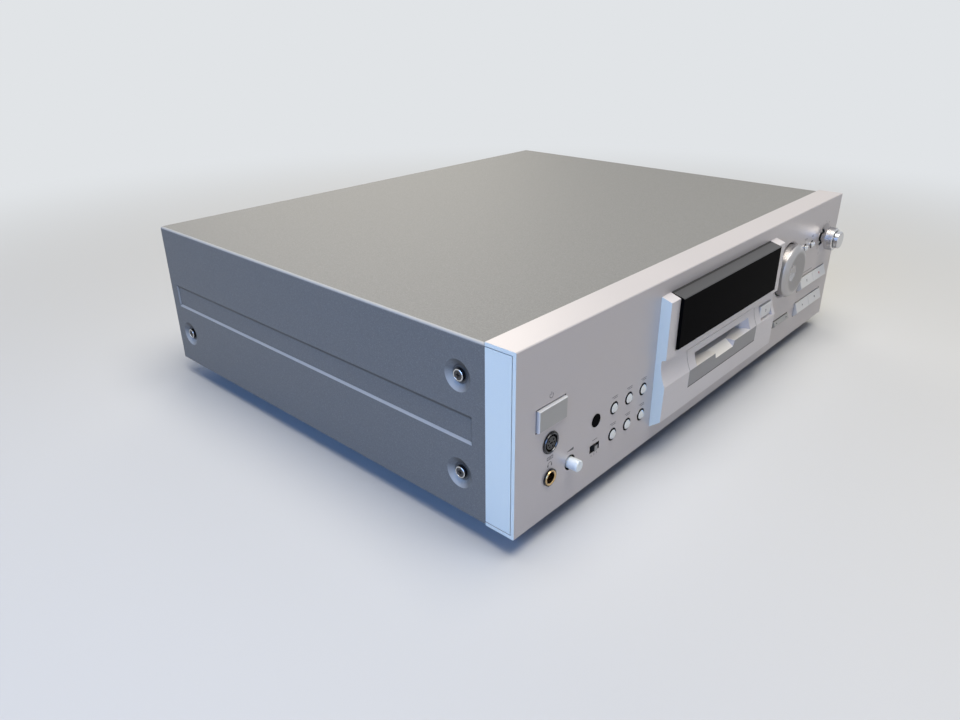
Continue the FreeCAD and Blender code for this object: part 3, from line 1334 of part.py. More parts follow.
def drive_chassis():
    """Pressed frame of the disc drive: floor, two walls, a rear stay and the bearings."""
    long = (y_at("drive_front"), y_at("drive_back"))
    solids = [box(both("drive_half"), long, PLATE),
              box(both("drive_half"), (y_at("arm_stay_front"), y_at("arm_stay_back")),
                  (z_at("arm_stay_low"), z_at("drive_wall_high")))]
    tools = [box(both("deck_port_half"), (f"{SPINDLE[1]} + stator_radius", y_at("(rod_back - rod_block)")),
                 (f"{PLATE[0]} - overrun", f"{PLATE[1]} + overrun"))]
    for sign in (-1, 1):
        wall = ordered(sign, f"({sign} * drive_half)", f"({sign} * (drive_half - drive_gauge))")
        solids.append(box(wall, long, (PLATE[0], z_at("drive_wall_high"))))
        solids.append(box(ordered(sign, f"({sign} * (arm_ear_in + arm_ear))", f"({sign} * arm_ear_in)"),
                          (y_at("(arm_axis - arm_eye)"), y_at("(arm_axis + arm_eye)")),
                          (z_at("drive_wall_high"), z_at("(arm_axis_height + arm_eye)"))))
        for spot in ("rod_front", "(rod_back - rod_block)"):
            solids.append(box(around(f"({sign} * rod_half)", "rod_block_side"),
                              (y_at(spot), y_at(f"({spot} + rod_block)")),
                              (PLATE[1], z_at("(rod_height + rod_block_side / 2)"))))
        tools.append(rod("Y", (f"{sign} * rod_half", z_at("rod_height")), "rod_radius",
                         (y_at("rod_front"), y_at("rod_back"))))
        slot = "(holder_pin + pin_gap)"
        for y, z in PINS:
            tools.append(box(ordered(sign, f"({sign} * (drive_half + overrun))",
                                     f"({sign} * (drive_half - drive_gauge - overrun))"),
                             (f"{y} - {slot}", f"{y} + {slot}"),
                             (f"{z} - holder_drop - {slot}", f"{z} + {slot}")))
    bearing = box(around("screw_axis", "rod_block_side"),
                  (y_at("rod_front"), y_at("(rod_front + rod_block)")),
                  (PLATE[1], z_at("(rod_height + rod_block_side / 2)")))
    solids.append(bearing)
    tools.append(rod("Y", SCREW_LINE, "screw_radius + run_gap", (f"{y_at('rod_front')} - overrun",
                                                                y_at("(rod_front + rod_block + overrun)"))))
    tools.append(rod("X", ARM_AXIS, "arm_pin + run_gap", both("(arm_ear_in + arm_ear + overrun)")))
    in_wall = "-drive_half + drive_gauge / 2"
    axle = rod("X", GEAR_AXIS, "gear_axle", (in_wall, f"{GEAR_X[1]} - lip_gap"))
    axle_seat = rod("X", GEAR_AXIS, "gear_hub", (in_wall, f"{GEAR_X[0]} - gear_wheel_width - lip_gap"))
    motor_hole = rod("X", MOTOR_AXIS, "motor_boss + run_gap",
                     ("-drive_half - overrun", "-drive_half + drive_gauge + overrun"))
    frame = cut(fuse(*solids), *tools, motor_hole)
    return piece("drive_chassis", fuse(frame, axle, axle_seat))


def disc_holder():
    """Tray that takes the cartridge between two channels, and drops it onto the turntable."""
    wall = "holder_wall"
    long = (y_at("holder_front"), y_at("holder_back"))
    top = (z_at("holder_top"), z_at(f"(holder_top + {wall})"))
    solids = [box(both("holder_half"), long, top)]
    for sign in (-1, 1):
        solids.append(box(ordered(sign, f"({sign} * holder_half)", f"({sign} * (holder_half - {wall}))"),
                          long, (z_at("holder_low"), top[0])))
        solids.append(box(ordered(sign, f"({sign} * holder_half)", f"({sign} * holder_rail)"), long,
                          (z_at("holder_low"), z_at(f"(holder_low + {wall})"))))
        for centre in PINS:
            solids.append(rod("X", centre, "holder_pin",
                              ordered(sign, f"({sign} * holder_pin_end)",
                                      f"({sign} * (holder_half - {wall} / 2))")))
    window = box(both("holder_window_half"), (y_at("holder_window"), f"{long[1]} + overrun"),
                 (f"{top[0]} - overrun", f"{top[1]} + overrun"))
    return piece("disc_holder", cut(fuse(*solids), window))


def rack_teeth():
    """Row of teeth under the cam slider's left plate, in mesh with the pinion at rest."""
    pitch = math.pi * number("gear_module")
    module = number("gear_module")
    station, line = number(GEAR_AXIS[0]), number(z_at(RACK_LINE))
    travel = number("cam_travel")
    half_gap = number("gear_backlash") / 2
    lean = math.tan(math.radians(20))
    x_low, x_high = number("-cam_half - cam_gauge"), number("-cam_half")
    root = number(z_at("cam_low"))
    teeth = []
    first = -int(travel / pitch) - 2
    for i in range(first, 2):
        middle = station + i * pitch
        tip_half = pitch / 4 - half_gap - 0.8 * module * lean
        root_half = pitch / 4 - half_gap + (root - line) * lean
        tip = line - 0.8 * module
        corners = [(middle - root_half, root), (middle - tip_half, tip), (middle + tip_half, tip),
                   (middle + root_half, root)]
        wire = Part.makePolygon([FreeCAD.Vector(x_low, y, z) for y, z in corners + corners[:1]])
        teeth.append(Part.Face(wire).extrude(FreeCAD.Vector(x_high - x_low, 0, 0)))
    rack = doc.addObject("Part::Feature", "rack_teeth")
    rack.Shape = teeth[0].multiFuse(teeth[1:])
    return rack


def pinion_teeth():
    """Ten-tooth spur pinion; each flank is an involute drawn through a few points."""
    module, count = number("gear_module"), int(number("gear_teeth"))
    pitch_radius = module * count / 2
    base_radius = pitch_radius * math.cos(math.radians(20))
    root_radius = pitch_radius - 1.2 * module
    tip_radius = pitch_radius + 0.8 * module
    spread = math.pi / (2 * count) - number("gear_backlash") / (2 * pitch_radius)
    steps = 4

    def involute(radius):
        angle = math.acos(base_radius / radius)
        return math.tan(angle) - angle

    flank = [base_radius + (tip_radius - base_radius) * i / steps for i in range(steps + 1)]
    at_pitch = involute(pitch_radius)
    corners = []
    for tooth in range(count):
        middle = math.pi / 2 + math.pi / count + 2 * math.pi * tooth / count
        half = [(r, spread + at_pitch - involute(r)) for r in flank]
        half.insert(0, (root_radius, half[0][1]))
        corners += [(r, middle - a) for r, a in half]
        corners += [(r, middle + a) for r, a in reversed(half)]
    y, z = number(GEAR_AXIS[0]), number(GEAR_AXIS[1])
    x = number("-cam_half - cam_gauge / 2 - gear_width / 2")
    points = [FreeCAD.Vector(x, y + r * math.cos(a), z + r * math.sin(a)) for r, a in corners]
    wheel = Part.Face(Part.makePolygon(points + points[:1])).extrude(
        FreeCAD.Vector(number("gear_width"), 0, 0))
    pinion = doc.addObject("Part::Feature", "pinion_teeth")
    pinion.Shape = wheel
    return pinion


def cam_slider():
    """Sliding cam: slanted slots lower the holder's pins as a rack draws it back."""
    solids, slots = [], []
    strap_z = (z_at("cam_top"), z_at("(cam_top + cam_gauge)"))
    for sign in (-1, 1):
        plate = ordered(sign, f"({sign} * (cam_half + cam_gauge))", f"({sign} * cam_half)")
        solids.append(box(plate, (y_at("cam_front"), y_at("cam_back")), (z_at("cam_low"), strap_z[0])))
        for y, z in PINS:
            slots.append(slanted_slot(plate, y, z))
    solids.append(box(both("(cam_half + cam_gauge)"), (y_at("cam_front"), y_at("(cam_front + cam_strap)")),
                      strap_z))
    return piece("cam_slider", fuse(cut(fuse(*solids), *slots), rack_teeth()))


def slanted_slot(plate, y, z):
    """Tool for one cam slot: it falls by the holder's drop over the slider's travel."""
    reach = "(holder_pin + pin_gap)"
    run = "sqrt(cam_travel ^ 2 + holder_drop ^ 2)"
    up = (f"({reach} * cam_travel / {run})", f"({reach} * holder_drop / {run})")
    far = (f"{y} - cam_travel", f"{z} - holder_drop")
    bulge = (reach, 1)
    outline = [
        (f"{y} - {up[1]}", f"{z} + {up[0]}"), (f"{far[0]} - {up[1]}", f"{far[1]} + {up[0]}", *bulge),
        (f"{far[0]} - {up[0]}", f"{far[1]} - {up[1]}", *bulge),
        (f"{far[0]} + {up[1]}", f"{far[1]} - {up[0]}"), (f"{y} + {up[1]}", f"{z} - {up[0]}", *bulge),
        (f"{y} + {up[0]}", f"{z} + {up[1]}", *bulge),
    ]
    return extruded("cam_slot", "YZ", outline, (f"{plate[0]} - overrun", f"{plate[1]} + overrun"))


def loading_gear():
    """Pinion that drives the rack, in one piece with the wheel that the motor turns."""
    wheel = rod("X", GEAR_AXIS, "gear_wheel", (f"{GEAR_X[0]} - gear_wheel_width", GEAR_X[0]))
    bore = rod("X", GEAR_AXIS, "gear_axle + run_gap",
               (f"{GEAR_X[0]} - gear_wheel_width - overrun", f"{GEAR_X[1]} + overrun"))
    return piece("loading_gear", cut(fuse(wheel, pinion_teeth()), bore))


def loading_motor():
    """Small motor on the frame's left wall, with its pinion inside."""
    body = rod("X", MOTOR_AXIS, "motor_radius", ("-drive_half - motor_length", "-drive_half"))
    boss = rod("X", MOTOR_AXIS, "motor_boss", ("-drive_half", "-drive_half + drive_gauge"))
    pinion = rod("X", MOTOR_AXIS, "motor_pinion",
                 ("-drive_half + drive_gauge", GEAR_X[0]))
    return piece("loading_motor", fuse(body, boss, pinion))


def spindle_motor():
    """Stator and bearing of the spindle motor."""
    stator = rod("Z", SPINDLE, "stator_radius", (PLATE[1], z_at("stator_high")))
    bore = rod("Z", SPINDLE, "spindle_shaft + run_gap",
               (f"{PLATE[1]} + bore_floor", f"{z_at('stator_high')} + overrun"))
    return piece("spindle_motor", cut(stator, bore))


def turntable():
    """Rotor, shaft and magnetic turntable in one."""
    shaft = rod("Z", SPINDLE, "spindle_shaft", (f"{PLATE[1]} + 2 * bore_floor", z_at("rotor_low")))
    rotor = rod("Z", SPINDLE, "rotor_radius", (z_at("rotor_low"), z_at("rotor_high")))
    table = rod("Z", SPINDLE, "table_radius", (z_at("rotor_high"), z_at("(table_high - button_chamfer)")))
    crown = cone("Z", SPINDLE, ("table_radius", "table_radius - button_chamfer"),
                 (z_at("(table_high - button_chamfer)"), z_at("table_high")))
    return piece("turntable", fuse(shaft, rotor, table, crown))


def guide_shafts():
    """Two steel shafts that the pickup slides on."""
    return group("guide_shafts", [rod("Y", (f"{sign} * rod_half", z_at("rod_height")), "rod_radius",
                                      (y_at("rod_front"), y_at("rod_back"))) for sign in (-1, 1)])


def pickup_sled():
    """Laser pickup with its lens turret, two bores for the shafts and a finger on the lead screw."""
    long = (y_at("sled_front"), y_at("sled_back"))
    block = box(both("sled_half"), long, (z_at("sled_low"), z_at("sled_high")))
    lens_spot = ("0", y_at("lens_station"))
    turret = rod("Z", lens_spot, "lens_radius", (z_at("sled_high"), z_at("lens_high")))
    finger_x = ("sled_half", "screw_axis - screw_radius - finger_gap")
    finger = box(finger_x, around(f"({long[0]} + {long[1]}) / 2", "finger_length"),
                 (z_at("(rod_height - screw_radius)"), z_at("sled_high")))
    tools = [rod("Y", (f"{sign} * rod_half", z_at("rod_height")), "rod_radius + run_gap",
                 (f"{long[0]} - overrun", f"{long[1]} + overrun")) for sign in (-1, 1)]
    tools.append(rod("Z", lens_spot, "lens_glass", (f"{z_at('lens_high')} - recess_depth",
                                                    f"{z_at('lens_high')} + overrun")))
    return piece("pickup_sled", cut(fuse(block, turret, finger), *tools))


def lead_screw():
    """Screw that moves the pickup, as a shaft of its thread's outer radius."""
    span = (y_at("(rod_front + lip_gap)"), y_at("(rod_back - screw_bear)"))
    return piece("lead_screw", rod("Y", SCREW_LINE, "screw_radius", span))


def sled_motor():
    """Motor at the rear end of the lead screw, on the frame's floor."""
    span = (y_at("(rod_back - 2 * screw_bear)"), y_at("(rod_back - 2 * screw_bear + screw_motor_length)"))
    body = rod("Y", SCREW_LINE, "screw_motor_radius", span)
    seat = box(around("screw_axis", "(2 * screw_motor_radius)"), span, (PLATE[1], SCREW_LINE[1]))
    bore = rod("Y", SCREW_LINE, "screw_radius + run_gap",
               (f"{span[0]} - overrun", f"{span[0]} + screw_bear + overrun"))
    return piece("sled_motor", cut(fuse(body, seat), bore))


def head_arm():
    """Arm that lowers the magnetic head onto the disc through the holder's window."""
    beam = box(both("arm_half"), (y_at("arm_front"), y_at("arm_axis")),
               (z_at("arm_low"), z_at("(arm_low + arm_gauge)")))
    barrel = rod("X", ARM_AXIS, "arm_pin + arm_gauge", both("arm_half"))
    pin = rod("X", ARM_AXIS, "arm_pin", both("(arm_ear_in + arm_ear)"))
    head = box(both("arm_head_half"), (y_at("arm_front"), y_at("(arm_front + arm_head)")),
               (z_at("arm_head_low"), z_at("arm_low")))
    return piece("head_arm", fuse(beam, barrel, pin, head))


def drive_dampers():
    """Rubber bushes between the chassis posts and the drive."""
    return group("drive_dampers", [rod("Z", spot, "damper_radius", (z_at("post_high"), PLATE[0]))
                                   for spot in POST_SPOTS])


# Main board, transformer and rear sockets

LINE_SPOTS = [(f"({MAIN_X[0]} + line_set + {column} * line_pitch)",
               z_at(f"(line_low + {line} * line_row_pitch)")) for line in (0, 1) for column in (0, 1)]
OPTICAL_X = [f"({MAIN_X[0]} + optical_set + {i} * optical_pitch)" for i in (0, 1, 2)]
INLET_X = side(-1, "inlet_inset")
BOARD_TOP = "(main_low + main_thick)"


def main_board():
    """Main circuit board with its chips, capacitors and a finned heat sink."""
    x0, y0 = MAIN_X[0], MAIN_Y[0]
    solids = [box(MAIN_X, MAIN_Y, (z_at("main_low"), z_at(BOARD_TOP)))]
    for column in (0, 1):
        for line in (0, 1, 2):
            solids.append(box(around(f"({x0} + {column + 1} * chip_pitch)", "chip_side"),
                              around(f"({y0} + {line + 1} * chip_pitch)", "chip_side"),
                              (z_at(BOARD_TOP), z_at(f"({BOARD_TOP} + chip_high)"))))
    can_x = f"({MAIN_X[1]} - can_pitch)"
    for i in range(6):
        solids.append(rod("Z", (can_x, f"{y0} + {i + 1} * can_pitch"), "can_radius",
                          (z_at(BOARD_TOP), z_at(f"({BOARD_TOP} + can_high)"))))
    sink_y = f"({y0} + 9 * can_pitch)"
    sink_z = (z_at(BOARD_TOP), z_at(f"({BOARD_TOP} + sink_high)"))
    sink_x = f"({MAIN_X[1]} - sink_length / 2 - main_margin)"
    solids.append(box(around(sink_x, "sink_length"), around(sink_y, "sink_thick"), sink_z))
    for i in range(-3, 4):
        solids.append(box(around(f"({sink_x} + {i} * sink_pitch)", "(sink_thick / 2)"),
                          (sink_y, f"{sink_y} + sink_fin"), sink_z))
    tools = [rod("Z", spot, SCREW_HOLE, (f"{z_at('main_low')} - overrun", f"{z_at(BOARD_TOP)} + overrun"))
             for spot in MAIN_SPOTS]
    return piece("main_board", cut(fuse(*solids), *tools))


def power_transformer():
    """Mains transformer: laminated core, wound bobbin and mounting feet."""
    x, y = side(-1, "core_inset"), f"({REAR} - core_tail)"
    core = box(around(x, "core_width"), around(y, "core_depth"), (DECK, f"{DECK} + core_height"))
    coil = box(around(x, "coil_width"), around(y, "coil_depth"),
               (f"{DECK} + coil_low", f"{DECK} + core_height - coil_low"))
    feet = box(around(x, "(core_width + 2 * core_foot_reach)"), around(y, "core_depth"),
               (DECK, f"{DECK} + core_foot"))
    return piece("power_transformer", fuse(core, coil, feet))


def line_jacks():
    """Block of four phono sockets, two in and two out."""
    inner = f"({BACK} - rear_gauge)"
    low_x, high_x = LINE_SPOTS[0][0], LINE_SPOTS[1][0]
    high_z = LINE_SPOTS[2][1]
    block = box((f"{low_x} - line_margin", f"{high_x} + line_margin"), (f"{inner} - line_block", inner),
                (z_at(BOARD_TOP), f"{high_z} + line_margin"))
    solids, tools = [block], []
    end = f"({REAR} + jack_proud)"
    for spot in LINE_SPOTS:
        solids.append(rod("Y", spot, "line_collar", (inner, f"{BACK} + line_collar_proud")))
        solids.append(rod("Y", spot, "line_sleeve", (f"{BACK} + line_collar_proud", end)))
        tools.append(rod("Y", spot, "line_pin_hole", (f"{inner} - line_block / 2", f"{end} + overrun")))
    return piece("line_jacks", cut(fuse(*solids), *tools))


def optical_jack(x):
    """Square optical socket with its dust plug in."""
    inner = f"({BACK} - rear_gauge)"
    z = z_at("optical_height")
    block = box(around(x, "optical_block"), (f"{inner} - optical_block", inner),
                (z_at(BOARD_TOP), f"{z} + optical_block / 2"))
    nose = box(around(x, "optical_side"), (inner, f"{BACK} + line_collar_proud"), around(z, "optical_side"))
    plug = box(around(x, "optical_plug"), (f"{BACK} + line_collar_proud", f"{BACK} + optical_plug_proud"),
               around(z, "optical_plug"))
    plug = soften("Chamfer", plug, "knob_chamfer", in_plane("y", f"{BACK} + optical_plug_proud"))
    return fuse(block, nose, plug)


def ac_inlet():
    """Two-pin mains inlet in the rear panel; the mains lead is a separate item."""
    z = z_at("inlet_height")
    body = box(around(INLET_X, "inlet_width"), (f"{BACK} - inlet_length", BACK), around(z, "inlet_tall"))
    flange = box(around(INLET_X, "(inlet_width + 4 * inlet_flange)"), (BACK, f"{BACK} + inlet_flange"),
                 around(z, "(inlet_tall + 2 * inlet_flange)"))
    mouth = f"({BACK} + inlet_flange)"
    floor = f"({mouth} - inlet_well_deep)"
    tools = [box(around(INLET_X, "(inlet_well - inlet_well_tall)"), (floor, f"{mouth} + overrun"),
                 around(z, "inlet_well_tall"))]
    for sign in (-1, 1):
        tools.append(rod("Y", (f"{INLET_X} + {sign} * (inlet_well - inlet_well_tall) / 2", z),
                         "inlet_well_tall / 2", (floor, f"{mouth} + overrun")))
    pins = [rod("Y", (f"{INLET_X} + {sign} * inlet_pin_half", z), "inlet_pin",
                (f"{floor} - overrun", f"{floor} + inlet_pin_long")) for sign in (-1, 1)]
    return piece("ac_inlet", fuse(cut(fuse(body, flange), *tools), *pins))


# Fasteners

def cover_screw(sign, place, height):
    """Pan-head screw in a dished seat of the cover."""
    spot = (place, height)
    head_out = "(dish_depth - cover_screw_height)"
    head = rod("X", spot, "cover_screw_head", ordered(sign, side(sign, head_out), side(sign, "dish_depth")))
    shank = rod("X", spot, "cover_screw_shank",
                ordered(sign, side(sign, "dish_depth"), side(sign, "(dish_depth + cover_screw_length)")))
    bars = []
    for wide, tall in (("recess_length", "recess_width"), ("recess_width", "recess_length")):
        bars.append(box(ordered(sign, side(sign, f"({head_out} - overrun)"),
                                side(sign, f"({head_out} + recess_depth)")),
                        around(place, wide), around(height, tall)))
    return cut(fuse(head, shank), *bars)


def case_screw(axis, spot, seat, turn):
    """Small screw whose head sits on a seat; turn is the way the head points along the axis."""
    head_end = f"{seat} + {turn} * case_screw_height"
    tip = f"{seat} - {turn} * case_screw_length"
    head = rod(axis, spot, "case_screw_head", (seat, head_end) if turn > 0 else (head_end, seat))
    shank = rod(axis, spot, "case_screw_shank", (tip, seat) if turn > 0 else (seat, tip))
    edge = f"{head_end} - {turn} * recess_depth"
    past = f"{head_end} + {turn} * overrun"
    deep = (edge, past) if turn > 0 else (past, edge)
    bars = []
    for first, second in (("recess_length", "recess_width"), ("recess_width", "recess_length")):
        planes = [around(spot[0], first), around(spot[1], second)]
        planes.insert({"Y": 1, "Z": 2}[axis], deep)
        bars.append(box(*planes))
    return cut(fuse(head, shank), *bars)


def screws():
    """The cover's screws, and the smaller ones of the case and boards."""
    group("cover_screws", [cover_screw(*spot) for spot in COVER_SCREWS])
    small = [case_screw("Z", spot, f"({FLOOR} - foot_web)", -1) for spot in FOOT_SPOTS]
    small += [case_screw("Y", spot, BOARD, -1) for spot in STUD_SPOTS]
    small += [case_screw("Z", spot, z_at(BOARD_TOP), 1) for spot in MAIN_SPOTS]
    small += [case_screw("Y", spot, BACK, 1) for spot in REAR_SPOTS]
    group("case_screws", small)


def build():
    """Make every sub-part."""
    top_cover()
    chassis_base()
    rear_panel()
    front_panel()
    end_cap(-1, "end_cap_left")
    end_cap(1, "end_cap_right")
    group("feet", [foot(*spot) for spot in FOOT_SPOTS])
    display_bridge()
    display_window()
    display_tube()
    disc_slot_insert()
    slot_flap()
    flat_button("power_button", POWER_SPOT, "power_width", "power_tall", "power_proud")
    flat_button("eject_button", EJECT_SPOT, "eject_width", "eject_tall", "eject_proud")
    for i, spot in enumerate(EDIT_SPOTS, 1):
        round_button(f"edit_button_{i}", spot, "edit_hole", "edit_radius", "edit_proud", "edit_dome")
    for i, spot in enumerate(INPUT_SPOTS, 1):
        round_button(f"input_button_{i}", spot, "input_hole", "input_radius", "input_proud",
                     "input_dome")
    for label, spot, turn in zip(KEY_NAMES, KEY_SPOTS, (-1, 1, -1, 1)):
        transport_key(label, spot, turn)
    search_rocker()
    control_board()
    timer_lever()
    jog_dial()
    jog_shaft()
    jog_encoder()
    record_level()
    phones_level()
    phones_jack()
    keyboard_jack()
    remote_window()
    drive_chassis()
    disc_holder()
    cam_slider()
    loading_gear()
    loading_motor()
    spindle_motor()
    turntable()
    guide_shafts()
    pickup_sled()
    lead_screw()
    sled_motor()
    head_arm()
    drive_dampers()
    main_board()
    power_transformer()
    line_jacks()
    group("optical_jacks", [optical_jack(x) for x in OPTICAL_X])
    ac_inlet()
    screws()


def check():
    """Stop if any object failed or any sub-part isn't a sound solid."""
    for thing in doc.Objects:
        bad = {"Invalid", "Error"} & set(thing.State)
        if bad:
            raise RuntimeError(f"{thing.Name} ({thing.Label}) is {bad}")
    for thing in PIECES:
        shape = thing.Shape
        if shape.isNull() or not shape.isValid() or not shape.Solids:
            raise RuntimeError(f"{thing.Label} has no valid solid")


def export():
    """Write each sub-part to a STEP file named after it."""
    os.makedirs("parts", exist_ok=True)
    for thing in PIECES:
        thing.Shape.exportStep(f"parts/{thing.Label}.step")


build()
doc.recompute()
check()
export()
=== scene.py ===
import math

import bmesh
import bpy
from mathutils import Euler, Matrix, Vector


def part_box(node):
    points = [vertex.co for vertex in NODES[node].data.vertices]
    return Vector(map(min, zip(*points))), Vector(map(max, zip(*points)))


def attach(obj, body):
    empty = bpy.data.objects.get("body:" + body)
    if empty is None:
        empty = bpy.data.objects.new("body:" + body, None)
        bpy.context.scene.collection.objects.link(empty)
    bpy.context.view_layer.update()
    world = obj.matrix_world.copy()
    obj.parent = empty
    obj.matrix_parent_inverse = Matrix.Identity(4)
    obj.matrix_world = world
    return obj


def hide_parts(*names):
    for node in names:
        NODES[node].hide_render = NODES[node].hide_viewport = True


bl_info = {
    "name": "Minidisc deck",
    "version": (1, 0, 0),
    "blender": (4, 5, 0),
    "location": "View3D > Sidebar > Deck",
    "description": "Dresses a minidisc deck's construction model in its finishes and small details",
    "category": "Object",
}

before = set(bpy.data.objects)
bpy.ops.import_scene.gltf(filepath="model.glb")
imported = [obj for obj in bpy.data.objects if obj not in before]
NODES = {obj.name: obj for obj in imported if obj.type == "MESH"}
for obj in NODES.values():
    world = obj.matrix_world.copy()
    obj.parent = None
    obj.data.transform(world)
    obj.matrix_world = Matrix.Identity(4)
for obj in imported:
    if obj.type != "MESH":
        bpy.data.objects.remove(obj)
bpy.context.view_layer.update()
MM = 0.001
CASING = "casing"
ROUND_KEYS = [f"edit_button_{i}" for i in range(1, 7)] + ["input_button_1", "input_button_2"]


def linear(code):
    """An sRGB hex code as linear red, green and blue."""
    shares = [int(code[i:i + 2], 16) / 255 for i in (1, 3, 5)]
    return tuple(c / 12.92 if c <= 0.04045 else ((c + 0.055) / 1.055) ** 2.4 for c in shares)


def tint(rgb, share=1.0):
    """A colour made paler or darker by a share, with full alpha, as a shader socket takes it."""
    return (*(min(1, c * share) for c in rgb), 1.0)


# Shader nodes

def feed(node, inputs):
    """Give sockets a value, or a link from an output or from a node's first output in use."""
    for socket, value in inputs.items():
        if isinstance(value, bpy.types.Node):
            value = next(output for output in value.outputs if output.enabled)
        if isinstance(value, bpy.types.NodeSocket):
            node.id_data.links.new(value, node.inputs[socket])
        else:
            node.inputs[socket].default_value = value


def adder(tree):
    """Clear a node tree, and return the function that adds a shader node to it.

    A Mix node of colours takes its share at socket 0, and its colours at 6 and 7.
    """
    tree.nodes.clear()

    def add(kind, inputs=None, **settings):
        """Add a shader node with its settings, values and links."""
        node = tree.nodes.new("ShaderNode" + kind)
        for name, value in settings.items():
            setattr(node, name, value)
        feed(node, inputs or {})
        return node

    return add


def new_material(name, maker, rgb, *rest):
    """A material whose maker adds its nodes and returns the shader's inputs."""
    material = bpy.data.materials.new(name)
    material.use_nodes = True
    add = adder(material.node_tree)
    shader = add("BsdfPrincipled")
    output = add("OutputMaterial", {"Surface": shader})
    inputs = maker(add, add("TexCoord").outputs["Object"], rgb, *rest)
    # A maker may also return a function that mixes the shader with another
    surface = inputs.pop("Surface", None)
    feed(shader, inputs)
    if surface:
        feed(output, {"Surface": surface(shader)})
    return material


def per_metre(size_mm):
    """A texture scale whose features are this many millimetres across."""
    return 1 / (size_mm * MM)


def powder_coated_steel(add, place, rgb):
    """Sheet steel, powder coated: a fine even grit with pale flecks, with a painted highlight where
    a side face turns up to the light, and painted shade where it turns down and in concave corners."""
    # Grit of 0.25 mm is drawn at 0.7 mm, so that it shows
    grit = add("TexNoise", {"Vector": place, "Scale": per_metre(0.7), "Detail": 2.0})
    fleck = add("TexVoronoi", {"Vector": place, "Scale": per_metre(1.1)})
    shine = add("MapRange", {"Value": fleck, "From Max": 0.35, "To Min": 1.0, "To Max": 0.0})
    tone = add("Mix", {0: grit, 6: tint(rgb, 0.72), 7: tint(rgb, 1.28)}, data_type="RGBA")
    coat = add("Mix", {0: shine, 6: tone, 7: tint(rgb, 1.45)}, data_type="RGBA")
    normal = add("NewGeometry").outputs["Normal"]
    face = add("SeparateXYZ", {"Vector": normal})
    # How far a face turns towards the light, which comes from above and a little from the front
    spray = add("VectorMath", {0: normal, 1: (0.0, -0.5, 0.87)}, operation="DOT_PRODUCT")
    away = add("Math", {0: face.outputs["X"]}, operation="ABSOLUTE")
    slope = add("MapRange", {"Value": away, "From Min": 0.05, "From Max": 0.4})
    # Painted highlight on side faces that turn up to the light, painted shade on those that turn
    # down
    for least, most, change in ((0.1, 0.5, 2.6), (-0.1, -0.45, 0.4)):
        tilt = add("MapRange", {"Value": spray, "From Min": least, "From Max": most})
        bend = add("Math", {0: tilt, 1: slope}, operation="MULTIPLY")
        coat = add("Mix", {0: bend, 6: coat, 7: tint(rgb, change)}, data_type="RGBA")
    # Painted shade: the coat goes nearly black in concave corners, where shade falls
    corner = add("AmbientOcclusion", {"Distance": 2.4 * MM}, samples=12)
    air = add("MapRange", {"Value": corner.outputs["AO"], "From Min": 0.66, "From Max": 0.9})
    worn = add("Mix", {0: air, 6: tint(rgb, 0.12), 7: coat}, data_type="RGBA")
    edge = add("Bevel", {"Radius": 0.5 * MM}, samples=4)
    bump = add("Bump", {"Height": grit, "Strength": 0.45, "Distance": 0.12 * MM, "Normal": edge})
    return {"Base Color": worn, "Metallic": 0.05, "Roughness": 0.56, "Normal": bump}


def blasted_aluminium(add, place, rgb):
    """Aluminium, bead blasted and clear anodised: silky, with a grain too fine to see as dots."""
    # Blasting pits of 0.1 mm are drawn at 0.5 mm, so that they show
    pits = add("TexNoise", {"Vector": place, "Scale": per_metre(0.5), "Detail": 2.0})
    cloud = add("TexNoise", {"Vector": place, "Scale": per_metre(60.0), "Detail": 2.0})
    tone = add("Mix", {0: pits, 6: tint(rgb, 0.93), 7: tint(rgb, 1.07)}, data_type="RGBA")
    rough = add("MapRange", {"Value": cloud, "To Min": 0.36, "To Max": 0.46})
    edge = add("Bevel", {"Radius": 0.35 * MM}, samples=4)
    bump = add("Bump", {"Height": pits, "Strength": 0.16, "Distance": 0.06 * MM, "Normal": edge})
    return {"Base Color": tone, "Metallic": 0.45, "Roughness": rough, "Normal": bump}


def lacquered_abs(add, place, rgb, metallic, low, high, edge_mm=0.25):
    """ABS moulding under metallic lacquer: smooth, with a faint orange peel."""
    peel = add("TexNoise", {"Vector": place, "Scale": per_metre(1.6), "Detail": 1.0})
    fleck = add("TexNoise", {"Vector": place, "Scale": per_metre(0.4)})
    tone = add("Mix", {0: fleck, 6: tint(rgb, 0.94), 7: tint(rgb, 1.06)}, data_type="RGBA")
    rough = add("MapRange", {"Value": peel, "To Min": low, "To Max": high})
    relief = {"Height": peel, "Strength": 0.08, "Distance": 0.05 * MM}
    if edge_mm:
        relief["Normal"] = add("Bevel", {"Radius": edge_mm * MM}, samples=4)
    bump = add("Bump", relief)
    return {"Base Color": tone, "Metallic": metallic, "Roughness": rough, "Normal": bump}


def moulded_abs(add, place, rgb, grain_mm=0.8, roughness=0.5):
    """ABS, moulded in a spark-eroded tool: an even matt grain over a plain colour."""
    grain = add("TexNoise", {"Vector": place, "Scale": per_metre(grain_mm), "Detail": 2.0})
    tone = add("Mix", {0: grain, 6: tint(rgb, 0.88), 7: tint(rgb, 1.12)}, data_type="RGBA")
    rough = add("MapRange", {"Value": grain, "To Min": roughness - 0.06,
                             "To Max": roughness + 0.06})
    bump = add("Bump", {"Height": grain, "Strength": 0.3, "Distance": 0.08 * MM})
    return {"Base Color": tone, "Roughness": rough, "Normal": bump}


